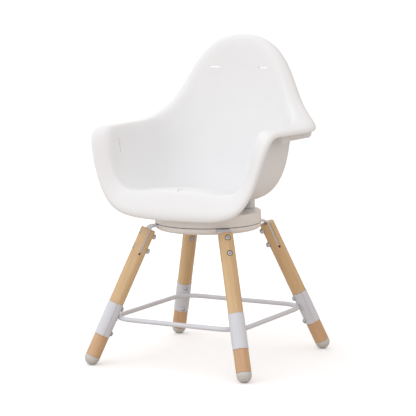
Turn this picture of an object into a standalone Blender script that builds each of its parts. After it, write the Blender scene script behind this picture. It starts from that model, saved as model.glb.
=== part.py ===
"""Baby high chair: a moulded bucket seat on a turntable, four beech legs and a rod footrest.

Metres, +Z up. The floor is z = 0, the swivel axis is the Z axis and the seat faces -Y.
"""

import math

import bmesh
import bpy
import numpy as np
from mathutils import Matrix, Vector
from mathutils.bvhtree import BVHTree

# Fits
GAP = 0.0003
RUNNING_GAP = 0.0001
BITE = 0.002

# Legs: each leg's own frame has z along the leg from the floor and x away from the swivel axis
LEG_COUNT = 4
FIRST_LEG_ANGLE = math.radians(45)
LEG_TILT = math.radians(25.2)
LEG_RADIUS = 0.016
LEG_LENGTH = 0.3205
LEG_TOP_CHAMFER = 0.001
LEG_TOP_Z = LEG_LENGTH * math.cos(LEG_TILT)

# Heights, each above the one that carries it
STRAP_TOP_Z = LEG_TOP_Z + 0.0082
GROOVE_Z = STRAP_TOP_Z + 0.001
COVER_TOP_Z = GROOVE_Z + 0.0258
SHELL_BOTTOM = COVER_TOP_Z - 0.008

# Overall sizes of the seat shell
SHELL_WIDTH = 0.442
SHELL_DEPTH = 0.334
SHELL_HEIGHT = 0.383
SHELL_WALL = 0.0045

# Guide lines of the shell, drawn from the middle of the front round to the middle of the back.
# They are drawn at GUIDE_SIZE, above SHELL_BOTTOM, and are stretched to the sizes above.
GUIDE_SIZE = (0.442, 0.334, 0.383)
SEAT_LOW_POINT = (0.0, 0.032, 0.028)
SEAT_BEND = (
    (0.000, -0.066, 0.068), (0.055, -0.066, 0.067), (0.098, -0.062, 0.057), (0.121, -0.055, 0.048),
    (0.124, -0.040, 0.043), (0.124, -0.010, 0.037), (0.124, 0.025, 0.034), (0.121, 0.064, 0.036),
    (0.097, 0.091, 0.035), (0.068, 0.108, 0.034), (0.036, 0.116, 0.034), (0.000, 0.118, 0.034),
)
FLANGE_CORNER = (
    (0.000, -0.132, 0.064), (0.068, -0.132, 0.063), (0.136, -0.131, 0.053), (0.171, -0.126, 0.107),
    (0.177, -0.120, 0.194), (0.176, -0.084, 0.197), (0.176, -0.006, 0.198), (0.174, 0.074, 0.200),
    (0.132, 0.119, 0.243), (0.102, 0.138, 0.319), (0.052, 0.151, 0.369), (0.000, 0.155, 0.376),
)
FLANGE_EDGE = (
    (0.000, -0.154, 0.009), (0.074, -0.154, 0.009), (0.158, -0.154, 0.017), (0.194, -0.150, 0.093),
    (0.220, -0.142, 0.191), (0.221, -0.084, 0.190), (0.221, -0.008, 0.189), (0.227, 0.106, 0.187),
    (0.157, 0.133, 0.231), (0.118, 0.155, 0.325), (0.060, 0.167, 0.381), (0.000, 0.171, 0.387),
)
FLANGE_END = (
    (0.000, -0.146, 0.000), (0.074, -0.146, 0.000), (0.158, -0.146, 0.010), (0.198, -0.140, 0.089),
    (0.221, -0.126, 0.183), (0.221, -0.082, 0.181), (0.221, -0.006, 0.180), (0.227, 0.109, 0.178),
    (0.160, 0.143, 0.218), (0.120, 0.167, 0.319), (0.062, 0.179, 0.373), (0.000, 0.183, 0.379),
)
ARM_HEIGHT = 0.200 * SHELL_HEIGHT / GUIDE_SIZE[2]
SHELL_FRONT_Y = -0.154 * SHELL_DEPTH / GUIDE_SIZE[1]
SHELL_AROUND = 42
SHELL_ALONG = 12

# Harness slots, from the shell's top, arm tops and front edge
SLOT_WIDTH = 0.0026
BACK_SLOT_LENGTH = 0.024
BACK_SLOT_X = 0.061
BACK_SLOT_Z = SHELL_BOTTOM + SHELL_HEIGHT - 0.073
ARM_SLOT_LENGTH = 0.031
ARM_SLOT_Y = SHELL_FRONT_Y + 0.068
ARM_SLOT_Z = SHELL_BOTTOM + ARM_HEIGHT - 0.049
CROTCH_SLOT_LENGTH = 0.022
CROTCH_SLOT_Y = SHELL_FRONT_Y + 0.035

# Tray rails
RAIL_X = SHELL_WIDTH / 2 - 0.022
RAIL_WIDTH = 0.009
RAIL_FRONT_Y = SHELL_FRONT_Y + 0.112
RAIL_LENGTH = 0.138
RAIL_BOTTOM_Z = SHELL_BOTTOM + ARM_HEIGHT - 0.0345
RAIL_BLOCK_LENGTH = 0.036
RAIL_BLOCK_DROP = 0.0020
TOOTH_COUNT = 8
TOOTH_PITCH = 0.0118
TOOTH_DEPTH = 0.0032

# Turntable
DISC_RADIUS = 0.1156
GROOVE_WIDTH = 0.0012
COVER_WALL = 0.003
COVER_EDGE_RADIUS = 0.004
BASE_BOTTOM_Z = GROOVE_Z - 0.0147
BASE_BOTTOM_RADIUS = DISC_RADIUS - 0.0156
BASE_WALL = 0.0025
BASE_PLATE_RADIUS = DISC_RADIUS - 0.0071
BASE_PLATE_THICKNESS = 0.003
UPPER_PLATE_RADIUS = DISC_RADIUS - 0.0056
UPPER_PLATE_THICKNESS = 0.003
UPPER_PLATE_LIFT = 0.0018
BEARING_INNER_RADIUS = 0.066
BEARING_OUTER_RADIUS = 0.085
BOSS_PLACE = 0.066
BOSS_RADIUS = 0.013
POST_RADIUS = 0.0075
PIVOT_RADIUS = 0.005
PIVOT_HEAD_RADIUS = 0.0095
PIVOT_HEAD_HEIGHT = 0.005
PIVOT_NUT_ACROSS = 0.017
PIVOT_NUT_HEIGHT = 0.008
SWIVEL_LIMIT = math.radians(90)
STOP_RADIUS = 0.052
STOP_WIDTH = 0.008
STOP_REACH = 0.0045
SCREW_RADIUS = 0.0025
SCREW_HEAD_RADIUS = 0.0045
SCREW_HEAD_HEIGHT = 0.0028
SCREW_BITE = 0.011

# The legs' places and what they carry
LEG_TOP_CLEARANCE = 0.00184
LEG_SPREAD = DISC_RADIUS + LEG_RADIUS + LEG_TOP_CLEARANCE + LEG_TOP_Z * math.tan(LEG_TILT)
FOOT_FLAT_DEPTH = 0.0004
FOOT_CAP_HEIGHT = 0.0213
SPIGOT_RADIUS = 0.004
SPIGOT_LENGTH = 0.013
SLEEVE_BOTTOM = 0.0706
SLEEVE_LENGTH = 0.0756
SLEEVE_RADIUS = LEG_RADIUS + 0.0007
SLEEVE_WALL = 0.0015
SEAM = 0.0006
SLEEVE_SCREW_SPACING = 0.058
SLEEVE_SCREW_RADIUS = 0.0025
SLEEVE_SCREW_HEAD_RADIUS = 0.0052
SLEEVE_SCREW_HEAD_HEIGHT = 0.0038
WELD_NUT_RADIUS = 0.0045
WELD_NUT_LENGTH = 0.008

# Straps that carry the legs
STRAP_THICKNESS = 0.004
STRAP_WIDTH = 0.029
STRAP_INNER_RADIUS = BASE_PLATE_RADIUS - 0.009
STRAP_BEND_RADIUS = 0.010
BLADE_LENGTH = 0.055
SLOT_FLOOR_GAP = 0.005

# Bolts through the leg tops
BOLT_RADIUS = 0.003
BOLT_HEAD_RADIUS = 0.005
BOLT_HEAD_HEIGHT = 0.0055
BOLT_FROM_TOP = 0.012
BOLT_SPACING = 0.034
COUNTERBORE_RADIUS = 0.0065
COUNTERBORE_DEPTH = 0.005
SPOT_FACE_DEPTH = 0.0012
WASHER_RADIUS = 0.006
WASHER_THICKNESS = 0.0012
NUT_ACROSS = 0.010
NUT_HEIGHT = 0.005
SOCKET_ACROSS = 0.005
SOCKET_DEPTH = 0.0028

# Footrest
ROD_RADIUS = 0.005
FOOTREST_Z = 0.0995
FOOTREST_CORNER_RADIUS = 0.050
WELD_DEPTH = 0.0008

LEG_SIDES = 16
SLEEVE_SIDES = 11
DISC_SIDES = 32
ROD_SIDES = 8
BOLT_SIDES = 8
HOLE_SIDES = 12
PLATE_SIDES = 24

MATERIALS = {
    "shell": ((0.86, 0.86, 0.87), 0.32, 0.0),
    "turntable": ((0.78, 0.75, 0.71), 0.25, 0.0),
    "steel_white": ((0.82, 0.83, 0.87), 0.40, 0.0),
    "steel_bare": ((0.60, 0.61, 0.63), 0.35, 1.0),
    "beech": ((0.70, 0.47, 0.26), 0.55, 0.0),
    "cap": ((0.62, 0.60, 0.57), 0.60, 0.0),
    "bearing": ((0.85, 0.85, 0.83), 0.50, 0.0),
}


def material(name):
    """The named finish, made the first time that it is asked for."""
    found = bpy.data.materials.get(name)
    if found:
        return found
    colour, roughness, metallic = MATERIALS[name]
    made = bpy.data.materials.new(name)
    made.use_nodes = True
    shader = made.node_tree.nodes["Principled BSDF"]
    shader.inputs["Base Color"].default_value = (*colour, 1.0)
    shader.inputs["Roughness"].default_value = roughness
    shader.inputs["Metallic"].default_value = metallic
    made.diffuse_color = (*colour, 1.0)
    return made


def mesh_from(points, faces, name="piece"):
    """A closed mesh with its faces turned outwards."""
    mesh = bpy.data.meshes.new(name)
    mesh.from_pydata([tuple(point) for point in points], [], faces)
    shape = bmesh.new()
    shape.from_mesh(mesh)
    bmesh.ops.recalc_face_normals(shape, faces=shape.faces)
    shape.to_mesh(mesh)
    shape.free()
    return mesh


def place(mesh, name, finish, matrix=None):
    """An object that holds the mesh, shaded smooth between its sharp edges."""
    piece = bpy.data.objects.new(name, mesh)
    bpy.context.scene.collection.objects.link(piece)
    if not mesh.materials:
        mesh.materials.append(material(finish))
    mesh.shade_smooth()
    mesh.set_sharp_from_angle(angle=math.radians(35))
    if matrix is not None:
        piece.matrix_world = matrix
    return piece


def combine(mesh, others, operation):
    """The mesh after an exact Boolean with each of the other meshes in turn."""
    base = bpy.data.objects.new("boolean_base", mesh)
    bpy.context.scene.collection.objects.link(base)
    tools = []
    for other in others:
        tool = bpy.data.objects.new("boolean_tool", other)
        bpy.context.scene.collection.objects.link(tool)
        tool.hide_render = True
        tool.display_type = "WIRE"
        tools.append(tool)
        step = base.modifiers.new("boolean", "BOOLEAN")
        step.operation = operation
        step.solver = "EXACT"
        step.object = tool
    bpy.context.view_layer.update()
    graph = bpy.context.evaluated_depsgraph_get()
    result = bpy.data.meshes.new_from_object(base.evaluated_get(graph), depsgraph=graph)
    for helper in [base, *tools]:
        bpy.data.objects.remove(helper, do_unlink=True)
    result.materials.clear()
    return result


def moved(mesh, matrix):
    mesh.transform(matrix)
    return mesh


def turned(profile, sides, start=0.0, sweep=math.tau):
    """A solid turned about z. The profile of (radius, z) points ends on the axis, or forms a loop."""
    full = abs(sweep - math.tau) < 1e-9
    steps = sides if full else sides + 1
    on_axis = profile[0][0] == 0 and profile[-1][0] == 0
    points, rings = [], []
    for radius, z in profile:
        if radius == 0:
            points.append((0, 0, z))
            rings.append([len(points) - 1] * steps)
            continue
        ring = []
        for step in range(steps):
            angle = start + sweep * step / sides
            ring.append(len(points))
            points.append((radius * math.cos(angle), radius * math.sin(angle), z))
        rings.append(ring)
    faces = []
    pairs = list(zip(rings, rings[1:]))
    if not on_axis:
        pairs.append((rings[-1], rings[0]))
    for low, high in pairs:
        for step in range(sides):
            after = (step + 1) % steps
            corners = [low[step], low[after], high[after], high[step]]
            face = list(dict.fromkeys(corners))
            if len(face) > 2:
                faces.append(face)
    if not full:
        faces.append([ring[0] for ring in rings])
        faces.append([ring[-1] for ring in reversed(rings)])
    return mesh_from(points, faces)


def cylinder(radius, low, high, sides):
    return turned([(0, low), (radius, low), (radius, high), (0, high)], sides)


def tube(inner, outer, low, high, sides):
    return turned([(inner, low), (outer, low), (outer, high), (inner, high)], sides)


def box(low, high):
    x, y, z = zip(low, high)
    points = [(x[i], y[j], z[k]) for i in (0, 1) for j in (0, 1) for k in (0, 1)]
    faces = [(0, 1, 3, 2), (4, 6, 7, 5), (0, 4, 5, 1), (2, 3, 7, 6), (0, 2, 6, 4), (1, 5, 7, 3)]
    return mesh_from(points, faces)


def prism(outline, half_width):
    """A flat outline of (x, z) points, as thick as twice half_width along y."""
    count = len(outline)
    points = [(x, side * half_width, z) for side in (-1, 1) for x, z in outline]
    faces = [list(range(count)), list(range(2 * count - 1, count - 1, -1))]
    for corner in range(count):
        after = (corner + 1) % count
        faces.append([corner, after, after + count, corner + count])
    return mesh_from(points, faces)


def hexagon(across, low, high):
    """A hexagonal bar along z, with its size across the flats."""
    return cylinder(across / 2 / math.cos(math.pi / 6), low, high, 6)


ALONG_X = Matrix.Rotation(math.pi / 2, 4, "Y")


def along_x(mesh, z):
    """Turns a shape made along z to lie along x, at the height z."""
    return moved(mesh, Matrix.Translation((0, 0, z)) @ ALONG_X)


# ---------------------------------------------------------------- seat shell

def spline_weights(count, samples, closed):
    """Weights of a cubic B-spline: one row for each sample, one column for each control point."""
    weights = np.zeros((len(samples), count))
    if closed:
        for row, place_on in enumerate(samples):
            first = math.floor(place_on * count)
            t = place_on * count - first
            cubic = ((1 - t) ** 3, 3 * t**3 - 6 * t * t + 4, -3 * t**3 + 3 * t * t + 3 * t + 1, t**3)
            for column, weight in enumerate(cubic):
                weights[row, (first - 1 + column) % count] += weight / 6
        return weights
    knots = np.concatenate([[0] * 3, np.linspace(0, 1, count - 2), [1] * 3])
    for row, place_on in enumerate(samples):
        at = min(place_on, 1 - 1e-9)
        basis = [1.0 if knots[i] <= at < knots[i + 1] else 0.0 for i in range(count + 3)]
        for degree in (1, 2, 3):
            for i in range(count + 3 - degree):
                rise = knots[i + degree] - knots[i]
                fall = knots[i + degree + 1] - knots[i + 1]
                left = (at - knots[i]) / rise * basis[i] if rise else 0.0
                right = (knots[i + degree + 1] - at) / fall * basis[i + 1] if fall else 0.0
                basis[i] = left + right
        weights[row] = basis[:count]
    return weights


def guide(points):
    """A guide line at the shell's real size."""
    stretch = np.array((SHELL_WIDTH, SHELL_DEPTH, SHELL_HEIGHT)) / np.array(GUIDE_SIZE)
    return np.array(points) * stretch + np.array((0, 0, SHELL_BOTTOM))


def shell_cage():
    """Control rings from the seat's low point out to the end of the rim, for half of the shell."""
    low_point = guide(SEAT_LOW_POINT)
    bend, corner, edge, end = map(guide, (SEAT_BEND, FLANGE_CORNER, FLANGE_EDGE, FLANGE_END))
    seat = low_point + (bend - low_point) * np.array((0.55, 0.55, 0.30))
    lower_wall = bend + (corner - bend) * np.array((0.74, 0.60, 0.38))
    upper_wall = bend + (corner - bend) * np.array((0.90, 0.88, 0.80))
    middle = (corner + edge) / 2
    pole = np.repeat(low_point[None], len(bend), 0)
    return np.array([pole, seat, bend, lower_wall, upper_wall, corner, middle, edge, end])


def shell_surface(around, along):
    """Points of the sitter's side and of the outer side, as arrays of rows from the low point outwards."""
    half = shell_cage()
    mirrored = half[:, -2:0:-1] * np.array((-1, 1, 1))
    cage = np.concatenate([half, mirrored], axis=1)
    turn = spline_weights(cage.shape[1], np.arange(around) / around, True)
    out = spline_weights(cage.shape[0], np.linspace(0, 1, along + 1), False)
    inner = np.einsum("vr,rnc,un->vuc", out, cage, turn)
    across = np.roll(inner, -1, 1) - np.roll(inner, 1, 1)
    outward = np.gradient(inner, axis=0)
    normal = np.cross(across, outward)
    normal[0] = (0, 0, -1)
    normal /= np.linalg.norm(normal, axis=2, keepdims=True)
    if normal[2, 0, 2] > 0:
        normal[1:] *= -1
    return inner, inner + normal * SHELL_WALL


def shell_mesh():
    inner, outer = shell_surface(SHELL_AROUND, SHELL_ALONG)
    points, faces = [], []
    for side in (inner, outer):
        start = len(points)
        points.append(side[0, 0])
        for row in side[1:]:
            points.extend(row)
        for step in range(SHELL_AROUND):
            after = (step + 1) % SHELL_AROUND
            faces.append([start, start + 1 + step, start + 1 + after])
            for row in range(SHELL_ALONG - 1):
                near = start + 1 + row * SHELL_AROUND
                far = near + SHELL_AROUND
                faces.append([near + step, near + after, far + after, far + step])
    inner_rim = 1 + (SHELL_ALONG - 1) * SHELL_AROUND
    outer_rim = inner_rim + 1 + SHELL_ALONG * SHELL_AROUND
    for step in range(SHELL_AROUND):
        after = (step + 1) % SHELL_AROUND
        faces.append([inner_rim + step, inner_rim + after, outer_rim + after, outer_rim + step])
    return mesh_from(points, faces, "seat_shell")


def finder(mesh):
    shape = bmesh.new()
    shape.from_mesh(mesh)
    tree = BVHTree.FromBMesh(shape)
    shape.free()
    return tree


def height_above(tree, x, y, z):
    """Where a plumb line that rises from (x, y, z) first meets the shell."""
    return tree.ray_cast(Vector((x, y, z)), Vector((0, 0, 1)))[0].z


def boss_corners():
    return [(sx * BOSS_PLACE, sy * BOSS_PLACE) for sx in (-1, 1) for sy in (-1, 1)]


def boss_mesh(tree, x, y):
    """A round boss that stands on the turntable and ends inside the shell's wall."""
    bottom = COVER_TOP_Z + GAP
    points = [(x, y, bottom), (x, y, height_above(tree, x, y, bottom) + BITE)]
    sides = HOLE_SIDES
    for step in range(sides):
        angle = math.tau * step / sides
        px = x + BOSS_RADIUS * math.cos(angle)
        py = y + BOSS_RADIUS * math.sin(angle)
        points.append((px, py, bottom))
        points.append((px, py, height_above(tree, px, py, bottom) + BITE))
    faces = []
    for step in range(sides):
        low, high = 2 + 2 * step, 3 + 2 * step
        low_after, high_after = 2 + 2 * ((step + 1) % sides), 3 + 2 * ((step + 1) % sides)
        faces += [[0, low, low_after], [1, high, high_after], [low, low_after, high_after, high]]
    return mesh_from(points, faces)


def rounded_bar(length, width, depth):
    """A slot cutter: a bar with round ends, long in x and deep in y."""
    half = length / 2 - width / 2
    outline = []
    for centre, start in ((half, -90), (-half, 90)):
        for step in range(5):
            angle = math.radians(start + 45 * step)
            outline.append((centre + width / 2 * math.cos(angle), width / 2 * math.sin(angle)))
    return prism(outline, depth / 2)


def slot_cutters(tree):
    """Cutters for the harness slots, each square to the wall it goes through."""
    cutters = []
    depth = 8 * SHELL_WALL
    for side in (-1, 1):
        hit, normal, _, _ = tree.ray_cast(Vector((side * BACK_SLOT_X, 0, BACK_SLOT_Z)), Vector((0, 1, 0)))
        bar = rounded_bar(BACK_SLOT_LENGTH, SLOT_WIDTH, depth)
        turn = Vector((0, -1, 0)).rotation_difference(normal).to_matrix().to_4x4()
        cutters.append(moved(bar, Matrix.Translation(hit) @ turn))
        hit, normal, _, _ = tree.ray_cast(Vector((0, ARM_SLOT_Y, ARM_SLOT_Z)), Vector((side, 0, 0)))
        bar = moved(rounded_bar(ARM_SLOT_LENGTH, SLOT_WIDTH, depth), Matrix.Rotation(math.pi / 2, 4, "Y"))
        turn = Vector((0, 1, 0)).rotation_difference(Vector((-side, 0, 0))).to_matrix().to_4x4()
        lean = Vector((-side, 0, 0)).rotation_difference(normal).to_matrix().to_4x4()
        cutters.append(moved(bar, Matrix.Translation(hit) @ lean @ turn))
    hit, normal, _, _ = tree.ray_cast(Vector((0, CROTCH_SLOT_Y, ARM_SLOT_Z)), Vector((0, 0, -1)))
    bar = moved(rounded_bar(CROTCH_SLOT_LENGTH, SLOT_WIDTH, depth), Matrix.Rotation(math.pi / 2, 4, "X"))
    bar = moved(bar, Matrix.Rotation(math.pi / 2, 4, "Z"))
    lean = Vector((0, 0, 1)).rotation_difference(normal).to_matrix().to_4x4()
    cutters.append(moved(bar, Matrix.Translation(hit) @ lean))
    return cutters


def build_shell():
    """The seat shell with its bosses and openings. Returns the plain shell and its finder."""
    plain = shell_mesh()
    tree = finder(plain)
    bosses = [boss_mesh(tree, x, y) for x, y in boss_corners()]
    shell = combine(plain, bosses, "UNION")
    holes = []
    for x, y in boss_corners():
        low = COVER_TOP_Z - BITE
        hole = cylinder(SCREW_RADIUS + GAP, low, COVER_TOP_Z + SCREW_BITE + BITE, BOLT_SIDES)
        holes.append(moved(hole, Matrix.Translation((x, y, 0))))
    shell = combine(shell, holes + slot_cutters(tree), "DIFFERENCE")
    place(shell, "seat_shell", "shell")
    return tree, plain


def rail_mesh(tree, shell, side):
    """A tray rail under an arm: its top is cut to the flange, its lower edge has square teeth."""
    stations = []
    block_end = RAIL_FRONT_Y + RAIL_BLOCK_LENGTH
    stations.append((RAIL_FRONT_Y, RAIL_BOTTOM_Z - RAIL_BLOCK_DROP))
    stations.append((block_end, RAIL_BOTTOM_Z - RAIL_BLOCK_DROP))
    stations.append((block_end, RAIL_BOTTOM_Z + TOOTH_DEPTH))
    tooth = TOOTH_PITCH / 2
    for number in range(TOOTH_COUNT):
        start = block_end + (number + 0.5) * TOOTH_PITCH
        stations.append((start, RAIL_BOTTOM_Z + TOOTH_DEPTH))
        stations.append((start, RAIL_BOTTOM_Z))
        stations.append((start + tooth, RAIL_BOTTOM_Z))
        stations.append((start + tooth, RAIL_BOTTOM_Z + TOOTH_DEPTH))
    stations.append((RAIL_FRONT_Y + RAIL_LENGTH, RAIL_BOTTOM_Z + TOOTH_DEPTH))
    xs = [side * (RAIL_X - RAIL_WIDTH / 2), side * (RAIL_X + RAIL_WIDTH / 2)]
    below = RAIL_BOTTOM_Z - RAIL_BLOCK_DROP - BITE
    points, faces = [], []
    for x in xs:
        for y, z in stations:
            points.append((x, y, z))
        for y in sorted({y for y, _ in stations}, reverse=True):
            points.append((x, y, height_above(tree, x, y, below) + SHELL_WALL / 2))
    half = len(points) // 2
    faces.append(list(range(half)))
    faces.append(list(range(2 * half - 1, half - 1, -1)))
    for corner in range(half):
        after = (corner + 1) % half
        faces.append([corner, after, after + half, corner + half])
    lowered = shell.copy()
    lowered.transform(Matrix.Translation((0, 0, -1.5 * GAP)))
    return combine(mesh_from(points, faces), [lowered], "DIFFERENCE")


def build_rails(tree, shell):
    place(rail_mesh(tree, shell, -1), "tray_rail_right", "shell")
    place(rail_mesh(tree, shell, 1), "tray_rail_left", "shell")


# ---------------------------------------------------------------- turntable

BASE_TOP_Z = GROOVE_Z - GROOVE_WIDTH / 2
COVER_BOTTOM_Z = GROOVE_Z + GROOVE_WIDTH / 2
BASE_PLATE_TOP_Z = STRAP_TOP_Z - STRAP_THICKNESS + GAP / 3
UPPER_PLATE_Z = COVER_BOTTOM_Z + UPPER_PLATE_LIFT
UPPER_PLATE_TOP_Z = UPPER_PLATE_Z + UPPER_PLATE_THICKNESS


def turntable_cover():
    """The upper disc: a cup, open below, with a post over each screw."""
    outer, inner = DISC_RADIUS, DISC_RADIUS - COVER_WALL
    top, ceiling = COVER_TOP_Z, COVER_TOP_Z - COVER_WALL
    profile = [(0, top)]
    for step in range(4):
        angle = math.radians(90 - 30 * step)
        profile.append((outer - COVER_EDGE_RADIUS * (1 - math.cos(angle)),
                        top - COVER_EDGE_RADIUS * (1 - math.sin(angle))))
    profile += [(outer, COVER_BOTTOM_Z + BITE / 4), (outer - BITE / 4, COVER_BOTTOM_Z)]
    profile += [(inner, COVER_BOTTOM_Z), (inner, ceiling), (0, ceiling)]
    cup = turned(profile, DISC_SIDES)
    posts, holes = [], []
    for x, y in boss_corners():
        shift = Matrix.Translation((x, y, 0))
        post = cylinder(POST_RADIUS, UPPER_PLATE_TOP_Z + GAP, ceiling + BITE / 2, BOLT_SIDES)
        posts.append(moved(post, shift))
        holes.append(moved(cylinder(SCREW_RADIUS + GAP, BASE_TOP_Z, top + BITE, BOLT_SIDES), shift))
    return combine(combine(cup, posts, "UNION"), holes, "DIFFERENCE")


def stop_lug(angle, low, high):
    """One block of the swivel stop, at an angle about the swivel axis."""
    block = box((STOP_RADIUS - STOP_WIDTH / 2, -STOP_WIDTH / 2, low),
                (STOP_RADIUS + STOP_WIDTH / 2, STOP_WIDTH / 2, high))
    return moved(block, Matrix.Rotation(angle, 4, "Z"))


def upper_plate():
    """The steel plate that turns with the seat, with the moving half of the stop under it."""
    bore = PIVOT_RADIUS + RUNNING_GAP
    plate = tube(bore, UPPER_PLATE_RADIUS, UPPER_PLATE_Z, UPPER_PLATE_TOP_Z, PLATE_SIDES)
    lug = stop_lug(math.pi / 2, UPPER_PLATE_Z - STOP_REACH, UPPER_PLATE_Z + BITE / 2)
    plate = combine(plate, [lug], "UNION")
    holes = []
    for x, y in boss_corners():
        hole = cylinder(SCREW_RADIUS + GAP, BASE_TOP_Z, UPPER_PLATE_TOP_Z + BITE, BOLT_SIDES)
        holes.append(moved(hole, Matrix.Translation((x, y, 0))))
    return combine(plate, holes, "DIFFERENCE")


def seat_screw():
    """A pan-head screw, head down, from the upper plate into a boss of the shell."""
    under = UPPER_PLATE_Z - GAP
    tip = COVER_TOP_Z + SCREW_BITE
    shape = turned([(0, under - SCREW_HEAD_HEIGHT), (SCREW_HEAD_RADIUS * 0.8, under - SCREW_HEAD_HEIGHT),
                    (SCREW_HEAD_RADIUS, under - SCREW_HEAD_HEIGHT / 2), (SCREW_HEAD_RADIUS, under),
                    (SCREW_RADIUS, under), (SCREW_RADIUS, tip - SCREW_RADIUS), (0, tip)], BOLT_SIDES)
    socket = hexagon(SCREW_RADIUS * 1.4, under - 2 * SCREW_HEAD_HEIGHT, under - SCREW_HEAD_HEIGHT / 2)
    return combine(shape, [socket], "DIFFERENCE")


def base_cover():
    """The lower disc: a shallow bowl with a notch for each strap and a hole for the pivot bolt."""
    steps = 3
    outside = [(PIVOT_RADIUS + GAP, BASE_BOTTOM_Z), (BASE_BOTTOM_RADIUS, BASE_BOTTOM_Z)]
    inside = []
    rise = BASE_TOP_Z - BASE_BOTTOM_Z
    run = DISC_RADIUS - BASE_BOTTOM_RADIUS
    for step in range(1, steps + 1):
        angle = math.radians(90 * step / steps)
        outside.append((BASE_BOTTOM_RADIUS + run * math.sin(angle),
                        BASE_BOTTOM_Z + 0.7 * rise * (1 - math.cos(angle))))
    outside.append((DISC_RADIUS, BASE_TOP_Z))
    for step in range(steps, 0, -1):
        angle = math.radians(90 * step / steps)
        inside.append((BASE_BOTTOM_RADIUS + (run - BASE_WALL) * math.sin(angle),
                       BASE_BOTTOM_Z + BASE_WALL + 0.5 * rise * (1 - math.cos(angle))))
    inside.insert(0, (DISC_RADIUS - BASE_WALL, BASE_TOP_Z))
    floor = BASE_BOTTOM_Z + BASE_WALL
    inside += [(BASE_BOTTOM_RADIUS, floor), (PIVOT_RADIUS + GAP, floor)]
    bowl = turned(outside + inside, DISC_SIDES)
    notches = []
    for leg in range(LEG_COUNT):
        half = STRAP_WIDTH / 2 + GAP
        notch = box((BASE_BOTTOM_RADIUS - BITE, -half, STRAP_TOP_Z - STRAP_THICKNESS - GAP),
                    (DISC_RADIUS + BITE, half, BASE_TOP_Z + BITE))
        notches.append(moved(notch, Matrix.Rotation(leg_angle(leg), 4, "Z")))
    return combine(bowl, notches, "DIFFERENCE")


def leg_angle(leg):
    return FIRST_LEG_ANGLE + leg * math.tau / LEG_COUNT


def leg_frame(leg):
    """From a leg's own frame to the world's."""
    turn = Matrix.Rotation(leg_angle(leg), 4, "Z")
    return turn @ Matrix.Translation((LEG_SPREAD, 0, 0)) @ Matrix.Rotation(-LEG_TILT, 4, "Y")


def bolt_heights():
    upper = LEG_LENGTH - BOLT_FROM_TOP
    return [upper, upper - BOLT_SPACING]


def strap_mesh(leg):
    """A flat strap that leaves the turntable level and bends down into the leg's saw cut."""
    level = STRAP_TOP_Z - STRAP_THICKNESS / 2
    corner_radius = LEG_SPREAD - level * math.tan(LEG_TILT)
    bend = math.pi / 2 - LEG_TILT
    setback = STRAP_BEND_RADIUS * math.tan(bend / 2)
    centre = (corner_radius - setback, level - STRAP_BEND_RADIUS)
    upper = [(STRAP_INNER_RADIUS, STRAP_TOP_Z)]
    lower = [(STRAP_INNER_RADIUS, STRAP_TOP_Z - STRAP_THICKNESS)]
    for step in range(7):
        angle = math.pi / 2 - bend * step / 6
        for line, radius in ((upper, STRAP_BEND_RADIUS + STRAP_THICKNESS / 2),
                             (lower, STRAP_BEND_RADIUS - STRAP_THICKNESS / 2)):
            line.append((centre[0] + radius * math.cos(angle), centre[1] + radius * math.sin(angle)))
    along = (math.sin(LEG_TILT), -math.cos(LEG_TILT))
    length = (level / math.cos(LEG_TILT) - LEG_LENGTH) + BLADE_LENGTH - setback
    for line in (upper, lower):
        line.append((line[-1][0] + along[0] * length, line[-1][1] + along[1] * length))
    strap = prism(upper + lower[::-1], STRAP_WIDTH / 2)
    return moved(strap, Matrix.Rotation(leg_angle(leg), 4, "Z"))


def base_frame():
    """The welded steel frame: base plate, four leg straps and the fixed half of the stop."""
    plate_low = BASE_PLATE_TOP_Z - BASE_PLATE_THICKNESS
    plate = tube(PIVOT_RADIUS + GAP, BASE_PLATE_RADIUS, plate_low, BASE_PLATE_TOP_Z, PLATE_SIDES)
    half_width = math.atan2(STOP_WIDTH / 2, STOP_RADIUS - STOP_WIDTH / 2)
    lug_turn = SWIVEL_LIMIT + 2 * half_width + GAP / STOP_RADIUS
    lugs = []
    for way in (-1, 1):
        place_at = math.pi / 2 + way * lug_turn
        lugs.append(stop_lug(place_at, plate_low + BITE / 2, UPPER_PLATE_Z - RUNNING_GAP * 5))
    straps = [strap_mesh(leg) for leg in range(LEG_COUNT)]
    frame = combine(plate, straps + lugs, "UNION")
    holes = []
    far = 2 * STRAP_THICKNESS
    for leg in range(LEG_COUNT):
        for height in bolt_heights():
            hole = along_x(cylinder(BOLT_RADIUS + GAP, -far, far, BOLT_SIDES), height)
            holes.append(moved(hole, leg_frame(leg)))
    return combine(frame, holes, "DIFFERENCE")


def pivot_bolt():
    seat = BASE_BOTTOM_Z - GAP
    tip = UPPER_PLATE_TOP_Z + PIVOT_NUT_HEIGHT + 2 * GAP + BITE
    shape = turned([(0, seat - PIVOT_HEAD_HEIGHT), (PIVOT_HEAD_RADIUS * 0.7, seat - PIVOT_HEAD_HEIGHT),
                    (PIVOT_HEAD_RADIUS, seat - PIVOT_HEAD_HEIGHT / 2), (PIVOT_HEAD_RADIUS, seat),
                    (PIVOT_RADIUS, seat), (PIVOT_RADIUS, tip), (0, tip)], PLATE_SIDES)
    socket = hexagon(PIVOT_RADIUS * 1.2, seat - 2 * PIVOT_HEAD_HEIGHT, seat - PIVOT_HEAD_HEIGHT / 2)
    return combine(shape, [socket], "DIFFERENCE")


def pivot_nut():
    low = UPPER_PLATE_TOP_Z + GAP
    nut = hexagon(PIVOT_NUT_ACROSS, low, low + PIVOT_NUT_HEIGHT)
    bore = cylinder(PIVOT_RADIUS + GAP, low - BITE, low + PIVOT_NUT_HEIGHT + BITE, PLATE_SIDES)
    return combine(nut, [bore], "DIFFERENCE")


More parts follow.
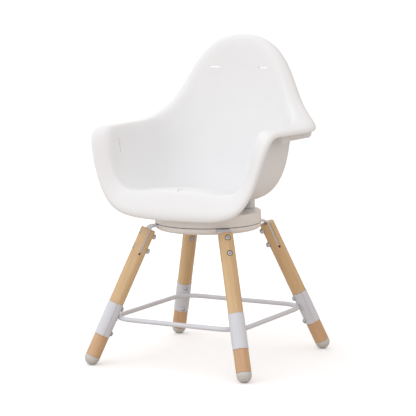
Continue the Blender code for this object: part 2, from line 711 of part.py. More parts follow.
def build_turntable():
    place(turntable_cover(), "turntable_cover", "turntable")
    place(upper_plate(), "upper_plate", "steel_bare")
    screw = seat_screw()
    for number, (x, y) in enumerate(boss_corners(), 1):
        place(screw, f"seat_screw_{number}", "steel_bare", Matrix.Translation((x, y, 0)))
    ring = tube(BEARING_INNER_RADIUS, BEARING_OUTER_RADIUS, BASE_PLATE_TOP_Z + GAP,
                UPPER_PLATE_Z - GAP, DISC_SIDES)
    place(ring, "bearing_ring", "bearing")
    place(base_frame(), "base_frame", "steel_white")
    place(base_cover(), "base_cover", "turntable")
    place(pivot_bolt(), "pivot_bolt", "steel_bare")
    place(pivot_nut(), "pivot_nut", "steel_bare")


# ---------------------------------------------------------------- legs

SLEEVE_TOP = SLEEVE_BOTTOM + SLEEVE_LENGTH
SLEEVE_MIDDLE = SLEEVE_BOTTOM + SLEEVE_LENGTH / 2
TENON_RADIUS = SLEEVE_RADIUS - SLEEVE_WALL - GAP


def sleeve_screw_heights():
    return [SLEEVE_MIDDLE - SLEEVE_SCREW_SPACING / 2, SLEEVE_MIDDLE + SLEEVE_SCREW_SPACING / 2]


def sleeve_screw_hole(height):
    """A hole for a sleeve screw, wider where the weld nut of the outer half sits."""
    nut_start = TENON_RADIUS - WELD_NUT_LENGTH
    profile = [(0, -2 * LEG_RADIUS), (SLEEVE_SCREW_RADIUS + GAP, -2 * LEG_RADIUS),
               (SLEEVE_SCREW_RADIUS + GAP, nut_start), (WELD_NUT_RADIUS + GAP, nut_start),
               (WELD_NUT_RADIUS + GAP, 2 * LEG_RADIUS), (0, 2 * LEG_RADIUS)]
    return along_x(turned(profile, BOLT_SIDES), height)


def foot_cap():
    """A domed cap with a small flat where it meets the floor and a spigot into the leg."""
    centre = (LEG_RADIUS - FOOT_FLAT_DEPTH) / math.cos(LEG_TILT)
    profile = [(0, centre - LEG_RADIUS)]
    for step in range(1, 6):
        angle = math.radians(90 * step / 5)
        profile.append((LEG_RADIUS * math.sin(angle), centre - LEG_RADIUS * math.cos(angle)))
    profile += [(LEG_RADIUS, FOOT_CAP_HEIGHT), (SPIGOT_RADIUS, FOOT_CAP_HEIGHT),
                (SPIGOT_RADIUS, FOOT_CAP_HEIGHT + SPIGOT_LENGTH), (0, FOOT_CAP_HEIGHT + SPIGOT_LENGTH)]
    cap = turned(profile, LEG_SIDES)
    shape = bmesh.new()
    shape.from_mesh(cap)
    everything = shape.verts[:] + shape.edges[:] + shape.faces[:]
    up = (math.sin(LEG_TILT), 0, math.cos(LEG_TILT))
    bmesh.ops.bisect_plane(shape, geom=everything, plane_co=(0, 0, 0), plane_no=up, clear_inner=True)
    bmesh.ops.holes_fill(shape, edges=[edge for edge in shape.edges if edge.is_boundary])
    bmesh.ops.recalc_face_normals(shape, faces=shape.faces)
    shape.to_mesh(cap)
    shape.free()
    return cap


def lower_leg():
    low = FOOT_CAP_HEIGHT + GAP
    top = SLEEVE_MIDDLE - GAP / 2
    profile = [(0, low), (LEG_RADIUS, low), (LEG_RADIUS, SLEEVE_BOTTOM - GAP),
               (TENON_RADIUS, SLEEVE_BOTTOM - GAP), (TENON_RADIUS, top), (0, top)]
    wood = turned(profile, LEG_SIDES)
    bore = cylinder(SPIGOT_RADIUS + GAP, low - BITE, FOOT_CAP_HEIGHT + SPIGOT_LENGTH + GAP, LEG_SIDES)
    return combine(wood, [bore, sleeve_screw_hole(sleeve_screw_heights()[0])], "DIFFERENCE")


def upper_leg():
    low = SLEEVE_MIDDLE + GAP / 2
    shoulder = SLEEVE_TOP + GAP
    profile = [(0, low), (TENON_RADIUS, low), (TENON_RADIUS, shoulder), (LEG_RADIUS, shoulder),
               (LEG_RADIUS, LEG_LENGTH - LEG_TOP_CHAMFER), (LEG_RADIUS - LEG_TOP_CHAMFER, LEG_LENGTH),
               (0, LEG_LENGTH)]
    wood = turned(profile, LEG_SIDES)
    half_slot = STRAP_THICKNESS / 2 + GAP
    slot_floor = LEG_LENGTH - BLADE_LENGTH - SLOT_FLOOR_GAP
    cuts = [box((-half_slot, -2 * LEG_RADIUS, slot_floor), (half_slot, 2 * LEG_RADIUS, LEG_LENGTH + BITE))]
    cuts.append(sleeve_screw_hole(sleeve_screw_heights()[1]))
    outside = LEG_RADIUS - COUNTERBORE_DEPTH
    inside = LEG_RADIUS - SPOT_FACE_DEPTH
    far = 2 * LEG_RADIUS
    for height in bolt_heights():
        profile = [(0, -far), (COUNTERBORE_RADIUS, -far), (COUNTERBORE_RADIUS, -inside),
                   (BOLT_RADIUS + GAP, -inside), (BOLT_RADIUS + GAP, outside),
                   (COUNTERBORE_RADIUS, outside), (COUNTERBORE_RADIUS, far), (0, far)]
        cuts.append(along_x(turned(profile, HOLE_SIDES), height))
    return combine(wood, cuts, "DIFFERENCE")


def half_sleeve(facing):
    """Half of a sleeve: facing +1 for the outer half, -1 for the inner one."""
    inner = SLEEVE_RADIUS - SLEEVE_WALL
    profile = [(inner, SLEEVE_BOTTOM), (SLEEVE_RADIUS, SLEEVE_BOTTOM), (SLEEVE_RADIUS, SLEEVE_TOP),
               (inner, SLEEVE_TOP)]
    seam = SEAM / 2 / SLEEVE_RADIUS
    start = (-math.pi / 2 if facing > 0 else math.pi / 2) + seam
    return turned(profile, SLEEVE_SIDES, start, math.pi - 2 * seam)


def outer_sleeve():
    """The plain outer half, with a blind weld nut inside for each screw."""
    bore = SLEEVE_SCREW_RADIUS + GAP
    bore_end = TENON_RADIUS - 2 * GAP
    nut_start = TENON_RADIUS - WELD_NUT_LENGTH + GAP
    nut_end = (SLEEVE_RADIUS - SLEEVE_WALL) * math.cos(math.pi / SLEEVE_SIDES / 2) + SLEEVE_WALL / 4
    profile = [(0, bore_end), (bore, bore_end), (bore, nut_start), (WELD_NUT_RADIUS, nut_start),
               (WELD_NUT_RADIUS, nut_end), (0, nut_end)]
    nuts = [along_x(turned(profile, BOLT_SIDES), height) for height in sleeve_screw_heights()]
    return combine(half_sleeve(1), nuts, "UNION")


def turned_screw(seat, tip, radius, head_radius, head_height, round_over):
    """A socket-head screw along x with its head at the -x end, and its hexagon socket."""
    top = seat - head_height
    shoulder = top + head_height * (1 - round_over) + GAP
    profile = [(0, top), (head_radius * round_over, top), (head_radius, shoulder), (head_radius, seat),
               (radius, seat), (radius, tip - GAP), (radius - GAP, tip), (0, tip)]
    shape = turned(profile, BOLT_SIDES)
    socket = hexagon(SOCKET_ACROSS, top - BITE, top + min(SOCKET_DEPTH, 0.7 * head_height))
    return combine(shape, [socket], "DIFFERENCE")


def sleeve_screw():
    return turned_screw(-SLEEVE_RADIUS - GAP, TENON_RADIUS - 4 * GAP, SLEEVE_SCREW_RADIUS,
                        SLEEVE_SCREW_HEAD_RADIUS, SLEEVE_SCREW_HEAD_HEIGHT, 0.75)


def leg_bolt():
    """The bolt through a leg top. It is made head down, and turned over when it is placed."""
    seat = -(LEG_RADIUS - COUNTERBORE_DEPTH) - GAP
    tip = LEG_RADIUS - SPOT_FACE_DEPTH + WASHER_THICKNESS + NUT_HEIGHT + BITE
    return turned_screw(seat, tip, BOLT_RADIUS, BOLT_HEAD_RADIUS, BOLT_HEAD_HEIGHT, 0.9)


def leg_nut():
    """Washer and nut on the inner side of a leg top."""
    seat = LEG_RADIUS - SPOT_FACE_DEPTH + GAP
    washer = cylinder(WASHER_RADIUS, seat, seat + WASHER_THICKNESS, HOLE_SIDES)
    nut = hexagon(NUT_ACROSS, seat + WASHER_THICKNESS / 2, seat + WASHER_THICKNESS + NUT_HEIGHT)
    bore = cylinder(BOLT_RADIUS + GAP, 0, 2 * LEG_RADIUS, BOLT_SIDES)
    return combine(combine(washer, [nut], "UNION"), [bore], "DIFFERENCE")


def footrest_path():
    """Centre line of the footrest: a square with round corners that just reaches into the sleeves."""
    leg_here = LEG_SPREAD - FOOTREST_Z * math.tan(LEG_TILT)
    corner = leg_here - SLEEVE_RADIUS / math.cos(LEG_TILT) - ROD_RADIUS + WELD_DEPTH
    centre = corner / math.sqrt(2) - FOOTREST_CORNER_RADIUS / math.sqrt(2)
    path = []
    for leg in range(LEG_COUNT):
        middle = leg_angle(leg)
        cx = math.copysign(centre, math.cos(middle))
        cy = math.copysign(centre, math.sin(middle))
        for step in range(6):
            angle = middle + math.radians(-45 + 18 * step)
            path.append((cx + FOOTREST_CORNER_RADIUS * math.cos(angle),
                         cy + FOOTREST_CORNER_RADIUS * math.sin(angle)))
    return path


def rod_ring():
    """The closed rod of the footrest."""
    path = footrest_path()
    count = len(path)
    points, faces = [], []
    for number, (x, y) in enumerate(path):
        before, after = path[number - 1], path[(number + 1) % count]
        heading = math.atan2(after[1] - before[1], after[0] - before[0])
        for side in range(ROD_SIDES):
            angle = math.tau * (side + 0.5) / ROD_SIDES
            reach = ROD_RADIUS * math.cos(angle)
            points.append((x + reach * math.sin(heading), y - reach * math.cos(heading),
                           FOOTREST_Z + ROD_RADIUS * math.sin(angle)))
    for number in range(count):
        near, far = number * ROD_SIDES, (number + 1) % count * ROD_SIDES
        for side in range(ROD_SIDES):
            after = (side + 1) % ROD_SIDES
            faces.append([near + side, near + after, far + after, far + side])
    return mesh_from(points, faces)


def footrest():
    """The footrest: the rod with the inner half of each sleeve welded to it."""
    halves, holes = [], []
    for leg in range(LEG_COUNT):
        halves.append(moved(half_sleeve(-1), leg_frame(leg)))
        for height in sleeve_screw_heights():
            hole = along_x(cylinder(SLEEVE_SCREW_RADIUS + GAP, -2 * LEG_RADIUS, 0, BOLT_SIDES), height)
            holes.append(moved(hole, leg_frame(leg)))
    return combine(combine(rod_ring(), halves, "UNION"), holes, "DIFFERENCE")


def build_legs():
    shapes = (("foot_cap", foot_cap(), "cap"), ("lower_leg", lower_leg(), "beech"),
              ("upper_leg", upper_leg(), "beech"), ("sleeve_outer", outer_sleeve(), "steel_white"))
    screw, bolt, nut = sleeve_screw(), leg_bolt(), leg_nut()
    over = Matrix.Rotation(math.pi, 4, "Z")
    for leg in range(LEG_COUNT):
        frame = leg_frame(leg)
        for name, mesh, finish in shapes:
            place(mesh, f"{name}_{leg + 1}", finish, frame)
        for height, level in zip(sleeve_screw_heights(), ("lower", "upper")):
            spot = frame @ Matrix.Translation((0, 0, height)) @ ALONG_X
            place(screw, f"sleeve_screw_{leg + 1}_{level}", "steel_bare", spot)
        for height, level in zip(bolt_heights(), ("upper", "lower")):
            spot = frame @ Matrix.Translation((0, 0, height)) @ over @ ALONG_X
            place(bolt, f"leg_bolt_{leg + 1}_{level}", "steel_bare", spot)
            place(nut, f"leg_nut_{leg + 1}_{level}", "steel_bare", spot)
    place(footrest(), "footrest", "steel_white")


def hang_on_swivel():
    """Parents everything that turns with the seat to an empty on the swivel axis."""
    axis = bpy.data.objects.new("swivel_axis", None)
    bpy.context.scene.collection.objects.link(axis)
    axis.location = (0, 0, GROOVE_Z)
    bpy.context.view_layer.update()
    turning = ["seat_shell", "tray_rail_right", "tray_rail_left", "turntable_cover", "upper_plate"]
    turning += [f"seat_screw_{number}" for number in range(1, len(boss_corners()) + 1)]
    for name in turning:
        piece = bpy.data.objects[name]
        piece.parent = axis
        piece.matrix_parent_inverse = axis.matrix_world.inverted()


def main():
    for item in list(bpy.data.objects):
        bpy.data.objects.remove(item, do_unlink=True)
    tree, shell = build_shell()
    build_rails(tree, shell)
    build_turntable()
    build_legs()
    hang_on_swivel()


main()
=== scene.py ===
"""The looks of a baby high chair: moulded bucket seat, turntable, beech legs and rod footrest.

Metres, +Z up. The floor is z = 0, the swivel axis is the Z axis and the seat faces -Y.
"""

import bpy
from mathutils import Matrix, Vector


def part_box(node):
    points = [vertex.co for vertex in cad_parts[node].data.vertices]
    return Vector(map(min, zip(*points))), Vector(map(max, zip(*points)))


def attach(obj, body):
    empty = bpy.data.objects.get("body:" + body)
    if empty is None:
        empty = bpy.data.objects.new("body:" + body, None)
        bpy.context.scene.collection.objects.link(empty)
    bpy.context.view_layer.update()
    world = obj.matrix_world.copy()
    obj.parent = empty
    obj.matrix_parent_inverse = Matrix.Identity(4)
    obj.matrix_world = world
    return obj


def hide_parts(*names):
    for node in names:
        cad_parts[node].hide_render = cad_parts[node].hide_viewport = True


bl_info = {
    "name": "Baby High Chair",
    "version": (1, 0, 0),
    "blender": (4, 5, 0),
    "location": "3D View > Sidebar > High Chair",
    "description": "Builds a baby high chair piece by piece around its packed frame",
    "category": "Add Mesh",
}

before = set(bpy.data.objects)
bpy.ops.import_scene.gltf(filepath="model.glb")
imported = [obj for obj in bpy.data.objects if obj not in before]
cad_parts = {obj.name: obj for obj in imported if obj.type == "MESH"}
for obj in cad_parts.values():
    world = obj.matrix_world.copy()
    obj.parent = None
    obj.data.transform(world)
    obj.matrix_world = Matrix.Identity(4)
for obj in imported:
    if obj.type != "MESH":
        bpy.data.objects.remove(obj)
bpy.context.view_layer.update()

import math

import bmesh
import bpy
import numpy as np
from bpy.props import FloatProperty, FloatVectorProperty, IntProperty, PointerProperty
from mathutils import Matrix, Vector
from mathutils.bvhtree import BVHTree

LEGS = (1, 2, 3, 4)
LEVELS = ("upper", "lower")

# Seat shell, as guide lines from the middle of the front round to the middle of the back, in metres
# above the shell's lowest edge
SHELL_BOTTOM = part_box("seat_shell")[0].z
SEAT_LOW_POINT = (0.0, 0.032, 0.028)
SEAT_BEND = (
    (0.000, -0.066, 0.068), (0.055, -0.066, 0.067), (0.098, -0.062, 0.057), (0.121, -0.055, 0.048),
    (0.124, -0.040, 0.043), (0.124, -0.010, 0.037), (0.124, 0.025, 0.034), (0.121, 0.064, 0.036),
    (0.097, 0.091, 0.035), (0.068, 0.108, 0.034), (0.036, 0.116, 0.034), (0.000, 0.118, 0.034),
)
FLANGE_CORNER = (
    (0.000, -0.132, 0.064), (0.068, -0.132, 0.063), (0.136, -0.131, 0.053), (0.171, -0.126, 0.107),
    (0.177, -0.120, 0.194), (0.176, -0.084, 0.197), (0.176, -0.006, 0.198), (0.174, 0.074, 0.200),
    (0.132, 0.119, 0.243), (0.102, 0.138, 0.319), (0.052, 0.151, 0.369), (0.000, 0.155, 0.376),
)
FLANGE_EDGE = (
    (0.000, -0.154, 0.009), (0.074, -0.154, 0.009), (0.158, -0.154, 0.017), (0.194, -0.150, 0.093),
    (0.220, -0.142, 0.191), (0.221, -0.084, 0.190), (0.221, -0.008, 0.189), (0.227, 0.106, 0.187),
    (0.157, 0.133, 0.231), (0.118, 0.155, 0.325), (0.060, 0.167, 0.381), (0.000, 0.171, 0.387),
)
FLANGE_END = (
    (0.000, -0.146, 0.000), (0.074, -0.146, 0.000), (0.158, -0.146, 0.010), (0.198, -0.140, 0.089),
    (0.221, -0.126, 0.183), (0.221, -0.082, 0.181), (0.221, -0.006, 0.180), (0.227, 0.109, 0.178),
    (0.160, 0.143, 0.218), (0.120, 0.167, 0.319), (0.062, 0.179, 0.373), (0.000, 0.183, 0.379),
)
BOSS_PLACE = (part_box("seat_screw_4")[0].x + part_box("seat_screw_4")[1].x) / 2
BOSS_RADIUS = 0.013
BOSS_FLARE = 0.005
BOSS_ROOT = 0.002
ARM_SLOT_Y = -0.086
ARM_SLOT_Z = 0.468
CROTCH_SLOT_Y = -0.119
CROTCH_SLOT_LENGTH = 0.022
BACK_SLOT_X = 0.061
BACK_SLOT_Z = 0.627
RAIL_BLOCK_LENGTH = 0.036
RAIL_BLOCK_DROP = 0.0020
RAIL_TEETH = 8

# Turntable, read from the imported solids
COVER_LOW, COVER_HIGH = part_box("turntable_cover")
BASE_LOW, BASE_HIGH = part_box("base_cover")
DISC_RADIUS = COVER_HIGH.x
COVER_WALL = 0.003
BASE_WALL = 0.0025
BASE_BOTTOM_RADIUS = 0.100
PLATE_TOP_Z = 0.2943
PLATE_THICKNESS = 0.003
PLATE_RADIUS = 0.1085
STOP_BLOCK_TOP_Z = 0.3013
STOP_BLOCK_TURN = math.radians(99.9)
STRAP_TOP_Z = 0.2982
STRAP_THICKNESS = 0.004
STRAP_WIDTH = 0.029
STRAP_INNER_RADIUS = 0.0995
STRAP_BEND_RADIUS = 0.010
BLADE_LENGTH = 0.055
PIVOT_RADIUS = 0.005

# Legs: z runs along the leg from the floor and x points away from the swivel axis
LEG_TILT = math.radians(25.2)
LEG_SPREAD = 0.2699
LEG_RADIUS = 0.016
LEG_LENGTH = 0.3205
LEG_EDGE = 0.0004
LEG_SPLIT = 0.1084
TENON_RADIUS = 0.0149
FOOT_FLAT_DEPTH = 0.0004
FOOT_CAP_HEIGHT = 0.0213
SPIGOT_RADIUS = 0.004
SPIGOT_HEIGHT = 0.013
SLEEVE_BOTTOM = 0.0706
SLEEVE_TOP = 0.1462
SLEEVE_RADIUS = 0.0167
SLEEVE_WALL = 0.0015
SEAM = 0.0006
SLEEVE_SCREW_HEIGHTS = (0.1374, 0.0794)
SCREW_HOLE_RADIUS = 0.0028
NUT_HOLE_RADIUS = 0.0048
NUT_HOLE_START = 0.0069
BOLT_HEIGHTS = (0.3085, 0.2745)
BOLT_HOLE_RADIUS = 0.0033
COUNTERBORE_RADIUS = 0.0065
COUNTERBORE_DEPTH = 0.005
SPOT_FACE_DEPTH = 0.0012
FOOTREST_Z = 0.0995
ROD_RADIUS = 0.005
FOOTREST_CORNER_RADIUS = 0.050
WELD_DEPTH = 0.0008
GAP = 0.0003

ALONG_X = Matrix.Rotation(math.pi / 2, 4, "Y")


# ---------------------------------------------------------------- settings

class SHELL_PG_sizes(bpy.types.PropertyGroup):
    """Sizes of the moulded seat"""

    wall: FloatProperty(name="Wall", description="Thickness of the moulding", default=0.0045,
                        min=0.002, unit="LENGTH")
    around: IntProperty(name="Facets Around", description="Facets round the rim",
                        default=220, min=44)
    along: IntProperty(name="Facets Along", description="Facets from the seat to the rim",
                       default=80, min=16)
    slot_width: FloatProperty(name="Slot Width", description="Width of a harness slot", default=0.0026,
                              min=0.001, unit="LENGTH")
    slot_length: FloatProperty(name="Back Slot Length", description="Length of a slot in the back",
                               default=0.024, unit="LENGTH")
    arm_slot_length: FloatProperty(name="Arm Slot Length", description="Length of a slot in an arm",
                                   default=0.031, unit="LENGTH")


class WORKSHOP_PG_sizes(bpy.types.PropertyGroup):
    """Sizes of the small features that the turned, bent and moulded pieces share"""

    leg_facets: IntProperty(name="Leg Facets", description="Facets round a leg", default=64, min=24)
    disc_facets: IntProperty(name="Disc Facets", description="Facets round a disc", default=160, min=48)
    edge: FloatProperty(name="Broken Edge", description="Rounding of sheet-metal edges", default=0.0006,
                        unit="LENGTH")
    tooth_pitch: FloatProperty(name="Tooth Pitch", description="Spacing of the rail's teeth",
                               default=0.0118, unit="LENGTH")
    tooth_depth: FloatProperty(name="Tooth Depth", description="Depth of the rail's teeth",
                               default=0.0032, unit="LENGTH")
    thread_pitch: FloatProperty(name="Thread Pitch", description="Pitch of the bolts' threads",
                                default=0.001, unit="LENGTH")


class FINISH_PG_colours(bpy.types.PropertyGroup):
    """Colours of the finishes"""

    shell: FloatVectorProperty(name="Shell", description="Moulded seat", subtype="COLOR",
                               default=(0.84, 0.84, 0.85))
    disc: FloatVectorProperty(name="Turntable", description="Turntable discs", subtype="COLOR",
                              default=(0.84, 0.81, 0.78))
    coat: FloatVectorProperty(name="Powder Coat", description="Coated steel", subtype="COLOR",
                              default=(0.67, 0.68, 0.73))
    wood_light: FloatVectorProperty(name="Beech Light", description="Early wood", subtype="COLOR",
                                    default=(0.74, 0.53, 0.30))
    wood_dark: FloatVectorProperty(name="Beech Dark", description="Late wood", subtype="COLOR",
                                   default=(0.54, 0.33, 0.155))
    cap: FloatVectorProperty(name="Foot Cap", description="Foot caps", subtype="COLOR",
                             default=(0.60, 0.58, 0.55))
    zinc: FloatVectorProperty(name="Zinc", description="Plated fasteners", subtype="COLOR",
                              default=(0.62, 0.64, 0.67))


class STAGE_PG_lights(bpy.types.PropertyGroup):
    """Lights, floor and camera"""

    key: FloatProperty(name="Key Light", description="Power of the large light", default=3.0, unit="POWER")
    rim: FloatProperty(name="Back Light", description="Power of the light behind", default=5.0, unit="POWER")
    sky: FloatProperty(name="Surroundings", description="Strength of the light from all round", default=1.29)
    azimuth: FloatProperty(name="Azimuth", description="Camera's turn about the chair",
                           default=math.radians(29.42), subtype="ANGLE")
    elevation: FloatProperty(name="Elevation", description="Camera's angle above the horizon",
                             default=math.radians(7.63), subtype="ANGLE")
    roll: FloatProperty(name="Roll", description="Camera's roll", default=math.radians(-0.59),
                        subtype="ANGLE")
    distance: FloatProperty(name="Distance", description="Camera's distance", default=3.757, unit="LENGTH")
    target: FloatProperty(name="Target Height", description="Height that the camera looks at",
                          default=0.3286, unit="LENGTH")
    lens: FloatProperty(name="Lens", description="Focal length in millimetres", default=149.6)


# ---------------------------------------------------------------- mesh tools

def mesh_from(points, faces, name="piece"):
    mesh = bpy.data.meshes.new(name)
    mesh.from_pydata([tuple(point) for point in points], [], faces)
    shape = bmesh.new()
    shape.from_mesh(mesh)
    bmesh.ops.recalc_face_normals(shape, faces=shape.faces)
    shape.to_mesh(mesh)
    shape.free()
    return mesh


def plain_mesh(piece):
    """The piece's evaluated mesh, with its modifiers worked in."""
    bpy.context.view_layer.update()
    graph = bpy.context.evaluated_depsgraph_get()
    return bpy.data.meshes.new_from_object(piece.evaluated_get(graph), depsgraph=graph)


def combine(mesh, others, operation):
    """The mesh after an exact Boolean with each of the others in turn."""
    base = bpy.data.objects.new("blank", mesh)
    bpy.context.scene.collection.objects.link(base)
    helpers = [base]
    for other in others:
        tool = bpy.data.objects.new("tool", other)
        bpy.context.scene.collection.objects.link(tool)
        helpers.append(tool)
        step = base.modifiers.new("cut", "BOOLEAN")
        step.operation = operation
        step.solver = "EXACT"
        step.object = tool
    result = plain_mesh(base)
    for helper in helpers:
        bpy.data.objects.remove(helper, do_unlink=True)
    result.materials.clear()
    return result


def joined(meshes):
    """One mesh that holds all of these."""
    shape = bmesh.new()
    for mesh in meshes:
        shape.from_mesh(mesh)
    result = bpy.data.meshes.new("joined")
    shape.to_mesh(result)
    shape.free()
    return result


def bevelled(mesh, width, segments=2, angle=30):
    """The mesh with its sharp edges rounded."""
    piece = bpy.data.objects.new("blank", mesh)
    bpy.context.scene.collection.objects.link(piece)
    step = piece.modifiers.new("edges", "BEVEL")
    step.width = width
    step.segments = segments
    step.limit_method = "ANGLE"
    step.angle_limit = math.radians(angle)
    step.use_clamp_overlap = True
    result = plain_mesh(piece)
    bpy.data.objects.remove(piece, do_unlink=True)
    return result


def moved(mesh, matrix):
    mesh.transform(matrix)
    return mesh


def turned(profile, sides, start=0.0, sweep=math.tau):
    """A solid turned about z. The profile's (radius, z) points start and end on the axis, or form a loop."""
    full = abs(sweep - math.tau) < 1e-9
    steps = sides if full else sides + 1
    on_axis = profile[0][0] == 0 and profile[-1][0] == 0
    points, rings = [], []
    for radius, z in profile:
        if radius == 0:
            points.append((0, 0, z))
            rings.append([len(points) - 1] * steps)
            continue
        ring = []
        for step in range(steps):
            angle = start + sweep * step / sides
            ring.append(len(points))
            points.append((radius * math.cos(angle), radius * math.sin(angle), z))
        rings.append(ring)
    faces = []
    pairs = list(zip(rings, rings[1:]))
    if not on_axis:
        pairs.append((rings[-1], rings[0]))
    for low, high in pairs:
        for step in range(sides):
            after = (step + 1) % steps
            face = list(dict.fromkeys([low[step], low[after], high[after], high[step]]))
            if len(face) > 2:
                faces.append(face)
    if not full:
        faces.append([ring[0] for ring in rings])
        faces.append([ring[-1] for ring in reversed(rings)])
    return mesh_from(points, faces)


def cylinder(radius, low, high, sides):
    return turned([(0, low), (radius, low), (radius, high), (0, high)], sides)


def hexagon(across, low, high):
    return cylinder(across / 2 / math.cos(math.pi / 6), low, high, 6)


def box(low, high):
    x, y, z = zip(low, high)
    points = [(x[i], y[j], z[k]) for i in (0, 1) for j in (0, 1) for k in (0, 1)]
    faces = [(0, 1, 3, 2), (4, 6, 7, 5), (0, 4, 5, 1), (2, 3, 7, 6), (0, 2, 6, 4), (1, 5, 7, 3)]
    return mesh_from(points, faces)


def prism(outline, half_width):
    """A flat outline of (x, z) points, as thick as twice half_width along y."""
    count = len(outline)
    points = [(x, side * half_width, z) for side in (-1, 1) for x, z in outline]
    faces = [list(range(count)), list(range(2 * count - 1, count - 1, -1))]
    for corner in range(count):
        after = (corner + 1) % count
        faces.append([corner, after, after + count, corner + count])
    return mesh_from(points, faces)


def along_x(mesh, z):
    return moved(mesh, Matrix.Translation((0, 0, z)) @ ALONG_X)


def arc(centre, radius, start, end, steps):
    """Points of an arc in a plane, from one angle in degrees to another."""
    points = []
    for step in range(steps + 1):
        angle = math.radians(start + (end - start) * step / steps)
        points.append((centre[0] + radius * math.cos(angle), centre[1] + radius * math.sin(angle)))
    return points


def set_piece(name, mesh, finish, body, slot, *nodes):
    """Puts a finished mesh in the scene, on its body, in place of the plain solids that it stands for."""
    piece = bpy.data.objects.new(name, mesh)
    bpy.context.scene.collection.objects.link(piece)
    mesh.materials.clear()
    mesh.materials.append(finish)
    mesh.shade_smooth()
    mesh.set_sharp_from_angle(angle=math.radians(32))
    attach(piece, body)
    if nodes:
        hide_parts(*nodes)
    return piece


def leg_angle(leg):
    return math.radians(45 + 90 * (leg - 1))


def leg_frame(leg):
    """From a leg's own frame to the chair's."""
    turn = Matrix.Rotation(leg_angle(leg), 4, "Z")
    return turn @ Matrix.Translation((LEG_SPREAD, 0, 0)) @ Matrix.Rotation(-LEG_TILT, 4, "Y")


# ---------------------------------------------------------------- finishes

def new_group(name, inputs, outputs):
    """A shader node group with its sockets. Each input is (name, kind, value), each output (name, kind)."""
    tree = bpy.data.node_groups.new(name, "ShaderNodeTree")
    for label, kind, value in inputs:
        socket = tree.interface.new_socket(label, in_out="INPUT", socket_type=kind)
        if value is not None:
            socket.default_value = value
    for label, kind in outputs:
        tree.interface.new_socket(label, in_out="OUTPUT", socket_type=kind)
    enter = tree.nodes.new("NodeGroupInput")
    leave = tree.nodes.new("NodeGroupOutput")
    return tree, enter, leave


def add(tree, kind, **settings):
    node = tree.nodes.new(kind)
    for key, value in settings.items():
        setattr(node, key, value)
    return node


def noise(tree, vector, scale, detail=2.0, roughness=0.5):
    node = add(tree, "ShaderNodeTexNoise")
    node.inputs["Detail"].default_value = detail
    node.inputs["Roughness"].default_value = roughness
    tree.links.new(vector, node.inputs["Vector"])
    if isinstance(scale, (int, float)):
        node.inputs["Scale"].default_value = scale
    else:
        tree.links.new(scale, node.inputs["Scale"])
    return node.outputs["Fac"]


def stretched(tree, vector, scale):
    node = add(tree, "ShaderNodeMapping")
    node.inputs["Scale"].default_value = scale
    tree.links.new(vector, node.inputs["Vector"])
    return node.outputs["Vector"]


def remap(tree, value, low, high, to_low=0.0, to_high=1.0):
    node = add(tree, "ShaderNodeMapRange")
    for label, number in (("From Min", low), ("From Max", high), ("To Min", to_low), ("To Max", to_high)):
        node.inputs[label].default_value = number
    tree.links.new(value, node.inputs["Value"])
    return node.outputs["Result"]


def arithmetic(tree, operation, first, second):
    node = add(tree, "ShaderNodeMath", operation=operation)
    for place, value in enumerate((first, second)):
        if isinstance(value, (int, float)):
            node.inputs[place].default_value = value
        else:
            tree.links.new(value, node.inputs[place])
    return node.outputs["Value"]


VECTOR, FLOAT, COLOUR = "NodeSocketVector", "NodeSocketFloat", "NodeSocketColor"


def moulded_skin_group():
    """Fine mould texture: an orange-peel height, slow drifts of tone and small changes of gloss."""
    tree, enter, leave = new_group(
        "moulded_skin",
        [("Place", VECTOR, None), ("Texture Scale", FLOAT, 900.0), ("Gloss", FLOAT, 0.35),
         ("Drift", FLOAT, 0.06)],
        [("Height", FLOAT), ("Tone", FLOAT), ("Roughness", FLOAT)])
    place = enter.outputs["Place"]
    fine = noise(tree, place, enter.outputs["Texture Scale"], 3.0)
    slow = noise(tree, place, 9.0, 3.0)
    smudge = noise(tree, place, 55.0, 4.0, 0.6)
    tone = arithmetic(tree, "MULTIPLY", arithmetic(tree, "SUBTRACT", slow, 0.5), enter.outputs["Drift"])
    spread = remap(tree, smudge, 0.3, 0.7, -0.05, 0.05)
    tree.links.new(fine, leave.inputs["Height"])
    tree.links.new(arithmetic(tree, "ADD", tone, 1.0), leave.inputs["Tone"])
    tree.links.new(arithmetic(tree, "ADD", enter.outputs["Gloss"], spread), leave.inputs["Roughness"])
    return tree


